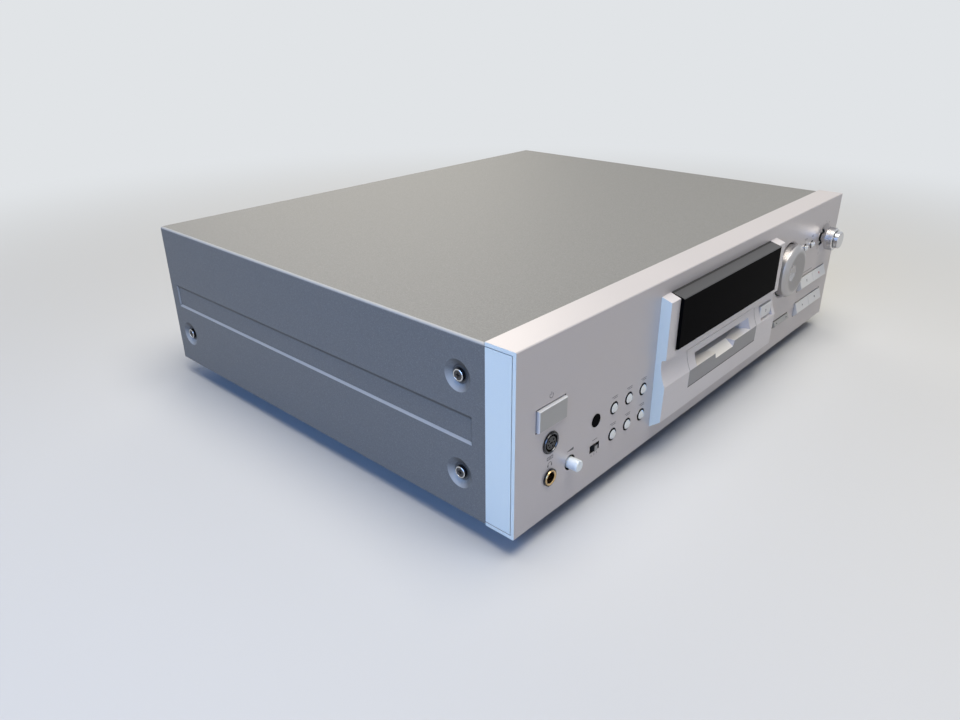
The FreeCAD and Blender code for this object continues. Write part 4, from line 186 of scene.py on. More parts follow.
def turned_aluminium(add, place, rgb, centre, roughness, rim_rgb=None, rim_from=0.0, rim_to=1.0):
    """Aluminium, face turned and clear anodised: fine rings about the knob's own axis.

    Given a rim colour, the turned face brightens towards it between two radii in millimetres:
    a polished rim, its lighter colour partly a painted highlight.
    """
    flat = add("VectorMath", {0: place, 1: centre}, operation="SUBTRACT")
    split = add("SeparateXYZ", {"Vector": flat})
    across = add("CombineXYZ", {"X": split.outputs["X"], "Z": split.outputs["Z"]})
    radius = add("VectorMath", {0: across}, operation="LENGTH")
    # Feed marks of 0.08 mm are drawn at 0.35 mm, so that they show
    rings, along = [add("TexNoise", {"W": way, "Scale": per_metre(0.35), "Detail": 3.0},
                        noise_dimensions="1D") for way in (radius, split.outputs["Y"])]
    marks = add("Math", {0: rings, 1: along}, operation="ADD")
    depth = add("MapRange", {"Value": marks, "From Min": 0.6, "From Max": 1.4})
    tone = add("Mix", {0: depth, 6: tint(rgb, 0.86), 7: tint(rgb, 1.1)}, data_type="RGBA")
    if rim_rgb is not None:
        # Painted highlight: the face grows paler towards the rim
        outward = add("MapRange", {"Value": radius, "From Min": rim_from * MM,
                                   "From Max": rim_to * MM}, interpolation_type="SMOOTHSTEP")
        tone = add("Mix", {0: outward, 6: tone, 7: tint(rim_rgb)}, data_type="RGBA")
    edge = add("Bevel", {"Radius": 0.2 * MM}, samples=4)
    bump = add("Bump", {"Height": marks, "Strength": 0.22, "Distance": 0.05 * MM, "Normal": edge})
    return {"Base Color": tone, "Metallic": 1.0, "Roughness": roughness, "Anisotropic": 0.5,
            "Normal": bump}


def smoked_acrylic(add, place, rgb):
    """Acrylic, smoked nearly black and coated against glare: the display just shows."""
    wave = add("TexNoise", {"Vector": place, "Scale": per_metre(45.0)})
    rough = add("MapRange", {"Value": wave, "To Min": 0.05, "To Max": 0.12})
    edge = add("Bevel", {"Radius": 0.2 * MM}, samples=4)
    return {"Base Color": tint(rgb), "Roughness": rough, "IOR": 1.49, "Specular IOR Level": 0.002,
            "Transmission Weight": 0.03, "Normal": edge}


def tube_glass(add, place, rgb):
    """Float glass of a vacuum display, or a moulded glass lens: smooth, with a slight haze."""
    haze = add("TexNoise", {"Vector": place, "Scale": per_metre(12.0)})
    rough = add("MapRange", {"Value": haze, "To Min": 0.04, "To Max": 0.14})
    return {"Base Color": tint(rgb), "Roughness": rough, "IOR": 1.52, "Transmission Weight": 0.3}


def rolled_steel(add, place, rgb, roughness=0.34):
    """Cold-rolled steel, zinc plated: soft spangle and fine rolling lines."""
    stretch = add("Mapping", {"Vector": place, "Scale": (1.0, 0.03, 1.0)})
    lines = add("TexNoise", {"Vector": stretch, "Scale": per_metre(0.6)})
    spangle = add("TexVoronoi", {"Vector": place, "Scale": per_metre(5.0)})
    tone = add("Mix", {0: spangle, 6: tint(rgb, 0.92), 7: tint(rgb, 1.06)}, data_type="RGBA")
    rough = add("MapRange", {"Value": lines, "To Min": roughness - 0.08,
                             "To Max": roughness + 0.08})
    bump = add("Bump", {"Height": lines, "Strength": 0.1, "Distance": 0.03 * MM})
    return {"Base Color": tone, "Metallic": 1.0, "Roughness": rough, "Normal": bump}


def plated_metal(add, place, rgb, roughness):
    """Plated and polished metal: bright, with slight tarnish in patches."""
    tarnish = add("TexNoise", {"Vector": place, "Scale": per_metre(2.5), "Detail": 3.0})
    tone = add("Mix", {0: tarnish, 6: tint(rgb, 0.88), 7: tint(rgb)}, data_type="RGBA")
    rough = add("MapRange", {"Value": tarnish, "To Min": roughness, "To Max": roughness + 0.12})
    return {"Base Color": tone, "Metallic": 1.0, "Roughness": rough}


def fibreglass_board(add, place, rgb):
    """Fibreglass circuit board under solder mask: copper tracks show as paler lines."""
    tracks = add("TexBrick", {"Vector": place, "Scale": per_metre(10.0), "Mortar Size": 0.03,
                              "Color1": tint(rgb), "Color2": tint(rgb, 0.8),
                              "Mortar": tint(rgb, 1.9)})
    return {"Base Color": tracks, "Roughness": 0.32}


def nitrile_rubber(add, place, rgb):
    """Moulded nitrile rubber: dull, dusty black."""
    dust = add("TexNoise", {"Vector": place, "Scale": per_metre(3.0), "Detail": 3.0})
    tone = add("Mix", {0: dust, 6: tint(rgb), 7: tint(rgb, 1.8)}, data_type="RGBA")
    return {"Base Color": tone, "Roughness": 0.78}


def printed_ink(add, place, rgb):
    """Screen-printed ink: flat, with slightly uneven cover."""
    cover = add("TexNoise", {"Vector": place, "Scale": per_metre(0.3)})
    tone = add("Mix", {0: cover, 6: tint(rgb), 7: tint(rgb, 1.35)}, data_type="RGBA")
    return {"Base Color": tone, "Roughness": 0.6}


# Each finish: how it is made, its material's name, its colour (a setting's name or an sRGB hex
# code) and whatever else its maker takes
FINISH_TABLE = {
    "cover": (powder_coated_steel, "powder_coated_steel_grey", "cover"),
    "rear": (powder_coated_steel, "powder_coated_steel_dark", "#47484A"),
    "fascia": (blasted_aluminium, "blasted_aluminium_silver", "fascia"),
    # End caps: silver lacquer drawn paler and bluer than the fascia, partly painted light from the
    # left
    "caps": (lacquered_abs, "lacquered_abs_pale_silver", "caps", 0.3, 0.34, 0.44),
    "bridge": (lacquered_abs, "lacquered_abs_silver", "bridge", 0.35, 0.34, 0.44),
    "keys": (lacquered_abs, "lacquered_abs_bright", "keys", 0.4, 0.3, 0.4, 0),
    "power": (lacquered_abs, "lacquered_abs_satin", "power", 0.4, 0.32, 0.42),
    # Pale grey of the slot's flap and throat: painted light where the slot lies in shade
    "flap": (moulded_abs, "moulded_abs_light_grey", "#C2C0BE", 0.7, 0.42),
    "domes": (plated_metal, "chrome_plated_abs", "#DADDE0", 0.1),
    "recess": (moulded_abs, "moulded_abs_shadow_black", "#0C0C0D", 0.8, 0.7),
    # Paler charcoal for the window's up-facing faces: painted sheen from above on the smoked
    # acrylic
    "frosted": (moulded_abs, "frosted_acrylic_charcoal", "#3A3A3C", 0.5, 0.42),
    "pearl": (lacquered_abs, "lacquered_abs_pearl", "#E2E8EA", 0.25, 0.26, 0.36),
    # Pale cream of the slot's up-facing floor: painted light from above
    "cream": (lacquered_abs, "lacquered_abs_cream", "#E4E0D9", 0.2, 0.3, 0.4),
    "insert": (moulded_abs, "moulded_abs_grey", "insert", 0.7, 0.42),
    "black": (moulded_abs, "moulded_abs_black", "#17171A"),
    "socket_black": (moulded_abs, "moulded_abs_gloss_black", "#101012", 1.5, 0.25),
    "foot": (moulded_abs, "moulded_abs_charcoal", "#222225", 1.0, 0.55),
    "gear": (moulded_abs, "moulded_acetal_ivory", "#E4E1D6", 0.6, 0.38),
    "window": (smoked_acrylic, "smoked_acrylic", "window"),
    "tube": (tube_glass, "vacuum_display_glass", "#5C6B68"),
    "steel": (rolled_steel, "zinc_plated_steel", "#C3C5C6"),
    "bright": (plated_metal, "nickel_plated_steel", "#CFCFCF", 0.14),
    "dark_nickel": (plated_metal, "black_nickel_plated_steel", "#55565A", 0.14),
    "gold": (plated_metal, "gold_plated_brass", "#CDB083", 0.14),
    "board": (fibreglass_board, "fibreglass_board_green", "#1E5B3C"),
    "core": (rolled_steel, "lacquered_core_steel", "#6B6C70", 0.5),
    "coil": (moulded_abs, "wound_coil_tape", "#B5812F", 2.0, 0.35),
    "sleeve": (moulded_abs, "shrink_sleeve_navy", "#1A2440", 2.0, 0.3),
    "rubber": (nitrile_rubber, "nitrile_rubber", "#1B1B1C"),
    "ink": (printed_ink, "screen_ink_grey", "ink"),
    "red_ink": (printed_ink, "screen_ink_red", "#A8443C"),
    "pale_ink": (printed_ink, "screen_ink_pale", "#B9BBBD"),
    "phosphor": (printed_ink, "unlit_phosphor", "#8FA09C"),
    "red": (moulded_abs, "moulded_abs_red", "#B3241F", 1.0, 0.35),
    "white": (moulded_abs, "moulded_abs_white", "#E6E5E0", 1.0, 0.35),
    "lens": (tube_glass, "pickup_lens_glass", "#3A3F6B"),
}
FINISHES = {}


def finish(name):
    """A finish by name, all made at the first call. A material comes back as it is."""
    if isinstance(name, bpy.types.Material):
        return name
    if not FINISHES:
        look = bpy.context.scene.deck_finishes
        for key, (maker, material, colour, *rest) in FINISH_TABLE.items():
            rgb = linear(colour) if colour.startswith("#") else getattr(look, colour)
            FINISHES[key] = new_material(material, maker, rgb, *rest)
    return FINISHES[name]


# Meshes

def middle(node):
    """The centre of a CAD node's box."""
    low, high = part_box(node)
    return (low + high) / 2


def front_middle(node):
    """The middle of the front of a CAD node's box."""
    spot = middle(node)
    spot.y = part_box(node)[0].y
    return spot


def give(node, *names):
    """Put finishes on a CAD node, the first one all over."""
    mesh = NODES[node].data
    mesh.materials.clear()
    for name in names:
        mesh.materials.append(finish(name))
    for face in mesh.polygons:
        face.material_index = 0


def give_each(plan):
    """Put one finish all over each CAD node, from a finish to its nodes."""
    for name, nodes in plan.items():
        for node in nodes.split():
            give(node, name)


def give_by_place(node, choose, *names):
    """Put several finishes on a CAD node; choose() picks one from a face's centre and normal."""
    give(node, *names)
    for face in NODES[node].data.polygons:
        face.material_index = int(choose(face.center, face.normal))


def make_piece(name, skins, look, body, closed=False):
    """Make a piece that rides on a body, of skins of corners in metres.

    A skin is closed rows of corners, each joined to the next by quads. Its last row is joined to
    the first where closed is set, or else both ends are capped.
    """
    form = bmesh.new()
    for skin in skins:
        rows = [[form.verts.new(corner) for corner in row] for row in skin]
        for row, after in zip(rows, rows[1:] + rows[:closed]):
            for i in range(len(row)):
                j = (i + 1) % len(row)
                form.faces.new((row[i], row[j], after[j], after[i]))
        if not closed:
            form.faces.new(rows[0][::-1])
            form.faces.new(rows[-1])
    bmesh.ops.recalc_face_normals(form, faces=form.faces)
    mesh = bpy.data.meshes.new(name)
    form.to_mesh(mesh)
    form.free()
    mesh.materials.append(finish(look))
    piece = bpy.data.objects.new(name, mesh)
    bpy.context.scene.collection.objects.link(piece)
    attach(piece, body)
    return piece


def lathe(name, profile, centre, look, body, steps, axis="Y", flutes=0, flute_depth=0.0,
          fluted=()):
    """Turn a closed profile of (along, radius), in millimetres, about a line through centre.

    Points whose index is in fluted get shallow flutes around the rim.
    """
    rings = []
    for step in range(steps):
        turn = 2 * math.pi * step / steps
        ring = []
        for index, (along, radius) in enumerate(profile):
            if index in fluted:
                radius -= flute_depth * (0.5 - 0.5 * math.cos(flutes * turn))
            out, up = radius * math.cos(turn), radius * math.sin(turn)
            corner = (along, out, up) if axis == "X" else (out, along, up)
            ring.append(centre + Vector(corner) * MM)
        rings.append(ring)
    piece = make_piece(name, [rings], look, body, closed=True)
    piece.data.shade_smooth()
    piece.data.set_sharp_from_angle(angle=math.radians(32))
    return piece


def printed(name, shapes, centre, look, body, facing=-1, lean=0.0):
    """Print flat shapes, lists of (x, z) in millimetres, about a point of a face across Y.

    A face that leans back goes in along Y by lean times its height.
    """
    lift = Vector((0, facing * bpy.context.scene.deck_print.thickness, 0))
    skins = []
    for shape in shapes:
        corners = [Vector((centre.x + x * MM, centre.y + lean * z * MM, centre.z + z * MM))
                   for x, z in shape]
        skins.append([[corner + side * lift for corner in corners] for side in (-1, 1)])
    make_piece(name, skins, look, body)


def slab(name, section, span, look):
    """A straight strip of the casing: a section of (y, z) from one x to the other, in metres."""
    make_piece(name, [[[(x, y, z) for y, z in section] for x in span]], look, CASING)


# Shapes of the print, in millimetres about their own centre

def bar(x, z, width, height):
    corners = ((-1, -1), (1, -1), (1, 1), (-1, 1))
    return [(x + a * width / 2, z + b * height / 2) for a, b in corners]


def even_shape(x, z, radius, corners, turn):
    """Even polygon whose first corner lies at a turn in degrees, 0 to the right."""
    turns = [math.radians(turn + 360 * i / corners) for i in range(corners)]
    return [(x + radius * math.cos(a), z + radius * math.sin(a)) for a in turns]


def round_dot(x, z, radius):
    return even_shape(x, z, radius, 24, 0)


def arrow(x, z, size, turn):
    """Triangle that points along a turn in degrees, 0 to the right."""
    return even_shape(x, z, size, 3, turn)


def arc_band(radius, width, start, stop, steps=20):
    """Quads along an arc, with angles in degrees."""
    turns = [math.radians(start + (stop - start) * i / steps) for i in range(steps + 1)]
    inner, outer = radius - width / 2, radius + width / 2
    return [[(reach * math.cos(turn), reach * math.sin(turn))
             for reach, turn in ((inner, a), (outer, a), (outer, b), (inner, b))]
            for a, b in zip(turns, turns[1:])]


def ticks(radius, length, width, start, stop, count):
    """Short radial lines around a knob, the first and the last half as long again."""
    shapes = []
    for i in range(count):
        turn = math.radians(start + (stop - start) * i / (count - 1))
        along = Vector((math.cos(turn), math.sin(turn)))
        across = Vector((-along.y, along.x))
        reach = length * (1.5 if i in (0, count - 1) else 1.0)
        shapes.append([tuple(along * (radius + a * reach) + across * (b * width / 2))
                       for a, b in ((0, -1), (1, -1), (1, 1), (0, 1))])
    return shapes


def digit_segments(x, z, height, width, stroke):
    """The seven strokes of one digit of a display."""
    half, lean = height / 2, width / 2
    flat = [bar(x, z + level, width - stroke, stroke) for level in (-half, 0, half)]
    upright = [bar(x + side * lean, z + level, stroke, half - stroke)
               for side in (-1, 1) for level in (-half / 2, half / 2)]
    return flat + upright


# Settings

def shade(name, description, code):
    """A colour setting whose default is an sRGB hex code."""
    return bpy.props.FloatVectorProperty(name=name, description=description, subtype="COLOR",
                                         size=3, min=0.0, max=1.0, default=linear(code))


def length(name, description, size_mm):
    """A length setting in metres, given in millimetres."""
    return bpy.props.FloatProperty(name=name, description=description, subtype="DISTANCE",
                                   unit="LENGTH", default=size_mm * MM, precision=5)


def amount(name, description, default, least, most):
    """A plain number between two limits."""
    return bpy.props.FloatProperty(name=name, description=description, default=default, min=least,
                                   max=most)


class DeckFinishes(bpy.types.PropertyGroup):
    """Colours of the deck's finishes."""

    cover: shade("Cover", "Powder coat of the cover", "#6D6D6C")
    fascia: shade("Fascia", "Anodised aluminium of the fascia", "#BEB9BA")
    # Paler and bluer than the fascia: partly the caps' own lacquer, partly painted light from the
    # left
    caps: shade("End caps", "Lacquer of the fascia's end caps", "#DEEAEC")
    bridge: shade("Raised centre", "Silver lacquer of the raised centre", "#CCC8CA")
    insert: shade("Slot insert", "Lower lip of the disc slot", "#8D8C8D")
    keys: shade("Keys", "Silver lacquer of the keys", "#D2D2D3")
    power: shade("Power key", "Lacquer of the power key and the search key", "#A4A3A1")
    # The dial's face is darker than bare turned aluminium, painted shade for the dim reflection in
    # it;
    dial: shade("Dial", "Turned aluminium of the dial's face", "#939193")
    # the rim is paler, partly a painted highlight on the shoulder and the dimple
    rim: shade("Dial rim", "Polished aluminium of the dial's shoulder and finger dimple", "#B3B1B2")
    knobs: shade("Knobs", "Turned and polished aluminium of the record level knobs", "#D1D1D4")
    window: shade("Display window", "Smoked acrylic", "#060608")
    ink: shade("Ink", "Printed symbols and ticks", "#4B4A4E")


class DeckPrint(bpy.types.PropertyGroup):
    """Sizes of the printed symbols and of the record level ring's flutes."""

    line: length("Line width", "Width of the thin printed lines", 0.35)
    thickness: length("Ink thickness", "How proud the print stands, thicker than real ink", 0.03)
    symbol: length("Symbol size", "Height of the key symbols", 2.0)
    flutes: bpy.props.IntProperty(name="Flutes", description="Flutes around the record level ring",
                                  default=48, min=12, max=120)
    flute_depth: length("Flute depth", "Depth of the flutes", 0.16)


class DeckStudio(bpy.types.PropertyGroup):
    """Camera and light."""

    lens: amount("Lens", "Focal length in millimetres", 27.947, 10.0, 200.0)
    sensor: amount("Sensor", "Sensor width in millimetres", 36.0, 10.0, 70.0)
    place: bpy.props.FloatVectorProperty(name="Camera place", description="Where the camera stands",
                                         subtype="TRANSLATION", unit="LENGTH", size=3,
                                         default=(-0.46577, -0.37384, 0.26887))
    aim: bpy.props.FloatVectorProperty(name="Camera turn", subtype="EULER", unit="ROTATION", size=3,
                                       description="The camera's turn about X, Y and Z",
                                       default=[math.radians(a) for a in (64.758, 0.419, -47.721)])
    floor: shade("Floor", "Plain pale sheet under the deck", "#B9BBBE")
    backdrop: shade("Backdrop", "Pale wall that the floor fades into", "#E1E4E7")
    ambient: amount("Ambient", "Strength of the light from all around", 0.05, 0.0, 2.0)
    overhead: amount("Overhead lamp", "Power of the large lamp above, in watts", 38.0, 0.0, 500.0)
    fill: amount("Fill lamp", "Power of the lamp behind on the right, in watts", 9.0, 0.0, 500.0)
    side: amount("Side lamp", "Power of the large lamp on the left, in watts", 11.0, 0.0, 500.0)


class DeckOperator:
    """What the deck's operators share."""

    bl_options = {"REGISTER", "UNDO"}

    def execute(self, context):
        self.make(context)
        return {"FINISHED"}


# Casing

class DECK_OT_casing(DeckOperator, bpy.types.Operator):
    """Finish the cover, the fascia, its end caps, the rear panel, the chassis and the feet."""

    bl_idname = "deck.casing"
    bl_label = "Casing"

    def make(self, context):
        give_each({"cover": "top_cover", "caps": "end_cap_left end_cap_right", "rear": "rear_panel",
                   "steel": "chassis_base", "foot": "feet", "bright": "case_screws"})
        low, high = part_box("front_panel")
        rim, end_skin, face_skin = 3 * MM, 0.05 * MM, 0.2 * MM

        def on_fascia(centre, normal):
            # The end faces take the end caps' paler, bluer finish: painted light from the side
            if abs(centre.x) > high.x - end_skin and abs(normal.x) > 0.9:
                return 1
            # The walls of the openings behind the front are drawn black: painted shade
            inside = abs(centre.x) < high.x - rim and low.z + rim < centre.z < high.z - rim
            return 2 * (inside and abs(normal.y) < 0.2 and centre.y > low.y + face_skin)

        give_by_place("front_panel", on_fascia, "fascia", "caps", "recess")
        self.finish_screws()
        self.band_lips()

    def band_lips(self):
        """The pressed slopes at the top and the ends of the cover's side bands."""
        low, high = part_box("top_cover")
        depth, drop, run, foot, sunk, root = (size * MM for size in (1.1, 2.2, 1.1, 1.4, 0.03, 0.1))
        front, rear = low.y + 9.5 * MM, high.y - 8.4 * MM
        bottom, top = high.z - 62.0 * MM, high.z - 44.5 * MM
        # Each line runs from the front's foot over the top to the rear's foot
        outer = [(front, bottom), (front, top), (rear, top), (rear, bottom)]
        inner = [(front + run, bottom + foot), (front + run, top - drop),
                 (rear - run, top - drop), (rear - run, bottom + foot)]
        back = [(front - root, bottom - root), (front - root, top + root),
                (rear + root, top + root), (rear + root, bottom - root)]
        set_in = (sunk, depth + sunk, depth + sunk)
        for side, name in ((-1, "band_lip_left"), (1, "band_lip_right")):
            rows = [[(side * (high.x - deep), y, z) for (y, z), deep in zip(stop, set_in)]
                    for stop in zip(outer, inner, back)]
            make_piece(name, [rows], "cover", CASING)

    def finish_screws(self):
        """Dark plated cover screws with a polished rim, their cross recess drawn black as painted
        shade.
        """
        low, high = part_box("cover_screws")
        head, cross, head_skin, cross_depth = 3.6 * MM, 1.9 * MM, 0.05 * MM, 1.4 * MM
        spots = [(low.y + head, high.z - head), (low.y + head, low.z + head),
                 (high.y - head, low.z + head)]

        def in_recess(centre, normal):
            off = min(math.hypot(centre.y - y, centre.z - z) for y, z in spots)
            return off < cross and head_skin < high.x - abs(centre.x) < cross_depth

        # The cross recess is drawn black: painted shade
        give_by_place("cover_screws", in_recess, "dark_nickel", "recess")
        rim = ((-0.1, 2.75), (0.12, 2.8), (0.22, 3.0), (0.18, 3.3), (0.0, 3.5), (-0.1, 3.5))
        for side, hand in ((-1, "left"), (1, "right")):
            profile = [(side * along, radius) for along, radius in rim]
            for number, (y, z) in enumerate(spots):
                lathe(f"cover_screw_rim_{hand}_{number}", profile, Vector((side * high.x, y, z)),
                      "bright", CASING, 40, axis="X")


class DECK_OT_raised_centre(DeckOperator, bpy.types.Operator):
    """Finish the raised centre, the slot's insert and its flap."""

    bl_idname = "deck.raised_centre"
    bl_label = "Raised centre"

    def make(self, context):
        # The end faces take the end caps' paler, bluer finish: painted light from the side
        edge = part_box("display_bridge")[1].x - 0.05 * MM
        give_by_place("display_bridge",
                      lambda centre, normal: abs(centre.x) > edge and abs(normal.x) > 0.9,
                      "bridge", "caps")
        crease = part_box("disc_slot_insert")[0].z + 11.8 * MM
        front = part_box("front_panel")[0].y

        def on_insert(centre, normal):
            # Faces behind the fascia's front, in the slot's throat, are drawn pale grey: painted
            # light in the shade
            if centre.y > front:
                return 2
            # Faces that look up are drawn pale cream: painted light from above
            if normal.z > 0.7:
                return 3
            return centre.z < crease and normal.y < -0.9

        give_by_place("disc_slot_insert", on_insert, "bridge", "insert", "flap", "cream")
        # The flap is drawn pale grey: painted light in the shaded slot
        give("slot_flap", "flap")
        self.seam_line()

    def seam_line(self):
        """Darker strips along the joint between the insert and the raised centre, below it and at
        its
        sides: painted shade of the gap there.
        """
        low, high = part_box("disc_slot_insert")
        wide, proud, sunk = 0.45 * MM, 0.06 * MM, 0.4 * MM
        crease = low.z + 11.9 * MM
        # The centre's chin and scoop, back from the crease and up from it, in millimetres
        fall = ((0.29, -11.9), (0.0, 0.0), (1.43, 3.1), (2.48, 6.1), (3.4, 10.1), (3.77, 13.2))
        line = [(low.y + back * MM, crease + up * MM) for back, up in fall]
        section = [(y - proud, z) for y, z in line] + [(y + sunk, z) for y, z in reversed(line)]
        for name, x in (("left", low.x - wide), ("right", high.x)):
            slab("insert_seam_" + name, section, (x, x + wide), "insert")
        y = line[0][0]
        foot = [(y - proud, low.z - wide), (y - proud, low.z), (y + sunk, low.z),
                (y + sunk, low.z - wide)]
        slab("insert_seam_low", foot, (low.x - wide, high.x + wide), "recess")


class DECK_OT_display(DeckOperator, bpy.types.Operator):
    """Finish the display window, its tube and the unlit strokes on the tube."""

    bl_idname = "deck.display"
    bl_label = "Display"

    def make(self, context):
        # Faces that look up are drawn in a paler charcoal: painted sheen from above
        give_by_place("display_window", lambda centre, normal: normal.z > 0.3, "window", "frosted")
        self.trim_strip()
        give_each({"window": "remote_window", "tube": "display_tube"})
        shapes = []
        height, width, stroke, pitch, left = 7.0, 3.8, 0.6, 6.4, -46.0
        for i in range(9):
            gap = 3.0 if i > 4 else 0.0
            shapes += digit_segments(left + i * pitch + gap, 1.0, height, width, stroke)
        shapes += [bar(left + 76.0 + i * 2.0, level, 1.3, 3.0)
                   for i in range(9) for level in (-3.0, 3.0)]
        printed("display_strokes", shapes, front_middle("display_tube"), "phosphor", CASING)

    def trim_strip(self):
        """Black strip along the window's rear top edge, against the fascia: painted shade of the
        gap there.
        """
        low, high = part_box("display_window")
        fall, width, proud, inset = 2.3 / 8.5, 1.5 * MM, 0.08 * MM, 0.3 * MM
        front, rear, drop = high.y - width, high.y - 0.02 * MM, width * fall
        section = [(front, high.z - drop + proud), (rear, high.z + proud),
                   (rear, high.z - 3 * proud), (front, high.z - drop - 3 * proud)]
        slab("window_trim", section, (low.x + inset, high.x - inset), "recess")


# Keys

class DECK_OT_keys(DeckOperator, bpy.types.Operator):
    """Finish the keys and print the symbols on their faces."""

    bl_idname = "deck.keys"
    bl_label = "Keys"

    # How far the middle of a sloped face lies behind the ridge and above the key's middle, in
    # millimetres, and its lean
    SLOPED = {"search_rocker": (0.66, 0.65, 1.6 / 3.7),
              **dict.fromkeys(("pause_button", "record_button", "play_button", "stop_button"),
                              (1.21, 1.4, 2.6 / 8.45))}

    def symbols(self, size):
        """Key node to its shapes, for a symbol height in millimetres."""
        half = size / 2
        return {
            "eject_button": [arrow(0, half * 0.55, half * 1.1, 90),
                             bar(0, -half * 0.75, size * 0.95, half * 0.4)],
            "pause_button": [bar(side * half * 0.5, 0, half * 0.5, size) for side in (-1, 1)],
            "record_button": [round_dot(0, 0, half)],
            "play_button": [arrow(0, 0, half * 1.15, 0)],
            "stop_button": [bar(0, 0, size * 0.85, size * 0.85)],
            "search_rocker": [arrow(side * (9.0 + step), 0, half * 0.8, 0 if side > 0 else 180)
                              for side in (-1, 1) for step in (0.0, half * 1.2)],
        }

    def make(self, context):
        # The power key's sides take the brighter key finish: painted light on its edges
        give_by_place("power_button", lambda centre, normal: normal.y > -0.95, "power", "keys")
        for node in ROUND_KEYS:
            give(node, "domes")
        for node, shapes in self.symbols(context.scene.deck_print.symbol / MM).items():
            give(node, "power" if node == "search_rocker" else "keys")
            sink, rise, lean = self.SLOPED.get(node, (0.0, 0.0, 0.0))
            printed(node + "_symbol", shapes, front_middle(node) + Vector((0, sink, rise)) * MM,
                    "red_ink" if node == "record_button" else "ink", node, lean=lean)


# Knobs

class DECK_OT_knobs(DeckOperator, bpy.types.Operator):
    """Turn the record level ring with its flutes, and finish the dial and the knobs."""

    bl_idname = "deck.knobs"
    bl_label = "Knobs"

    def make(self, context):
        look = context.scene.deck_finishes
        dial = middle("jog_dial")
        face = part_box("jog_dial")[0].y + 0.05 * MM
        shoulder_from, shoulder_to = 14.0, 17.3

        def in_dimple(centre, normal):
            off = math.hypot(centre.x - dial.x, centre.z - dial.z)
            return centre.y > face and off < 14.5 * MM and normal.y < -0.6

        # A darker face, painted shade; a paler shoulder and dimple, partly a painted highlight
        give_by_place("jog_dial", in_dimple,
                      new_material("turned_aluminium_dial", turned_aluminium, look.dial, dial, 0.3,
                                   look.rim, shoulder_from, shoulder_to),
                      new_material("turned_aluminium_dimple", turned_aluminium, look.rim, dial,
                                   0.2))
        give("rec_level_knob", new_material("turned_aluminium_level_knob", turned_aluminium,
                                            look.knobs, middle("rec_level_knob"), 0.14))
        give_each({"pearl": "phones_level_knob", "bright": "jog_shaft"})
        self.turn_ring(look, context.scene.deck_print)

    def turn_ring(self, look, sizes):
        """The record level ring, with its flutes and its mark."""
        low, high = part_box("rec_level_ring")
        centre = front_middle("rec_level_ring")
        radius, depth = (high.x - low.x) / 2 / MM, (high.y - low.y) / MM
        rim, hub, bore, chamfer = 6.8, 4.0, 1.65, 0.6
        profile = [(0.25, bore), (0.0, bore + 1.0), (0.0, radius - chamfer - 0.3),
                   (chamfer, radius - 0.05), (chamfer + 0.3, radius), (rim - 0.4, radius),
                   (rim, radius - 0.4), (rim, hub), (depth, hub), (depth, bore)]
        metal = new_material("turned_aluminium_level_ring", turned_aluminium, look.knobs, centre,
                             0.14)
        ring = lathe("level_ring_fluted", profile, centre, metal, "rec_level_ring",
                     4 * sizes.flutes, flutes=sizes.flutes,
                     flute_depth=sizes.flute_depth / MM, fluted=(4, 5))
        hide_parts("rec_level_ring")
        printed("level_ring_mark", [bar(0, radius - 2.0, 0.8, 1.6)], centre, "ink",
                "rec_level_ring")


# Sockets on the fascia

class DECK_OT_front_sockets(DeckOperator, bpy.types.Operator):
    """Finish the headphone and keyboard sockets and the timer lever, with their plated rings."""

    bl_idname = "deck.front_sockets"
    bl_label = "Front sockets"

    def make(self, context):
        jack = front_middle("phones_jack")
        bore, contacts_to = 3.25 * MM, jack.y + 20 * MM

        def in_bore(centre, normal):
            off = math.hypot(centre.x - jack.x, centre.z - jack.z)
            return off < bore and centre.y < contacts_to

        give_by_place("phones_jack", in_bore, "socket_black", "gold")
        ring = [(0.5, 3.2), (0.1, 3.3), (-0.3, 3.6), (-0.5, 3.95), (-0.42, 4.3), (-0.1, 4.55),
                (0.2, 4.6), (0.5, 4.6)]
        lathe("phones_jack_ring", ring, jack, "gold", CASING, 64)
        give("keyboard_jack", "socket_black")
        rim = [(0.4, 4.9), (0.0, 4.95), (-0.35, 5.15), (-0.5, 5.5), (-0.4, 5.85), (0.0, 6.05),
               (0.4, 6.05)]
        lathe("keyboard_jack_rim", rim, front_middle("keyboard_jack"), "dark_nickel", CASING,
              64)
        slot_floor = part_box("front_panel")[0].y + 0.3 * MM
        # The lever's front is drawn mid grey, a painted highlight on its black plastic; what lies
        # deeper is black, painted shade
        give_by_place("timer_lever", lambda centre, normal: centre.y > slot_floor,
                      "insert", "recess")


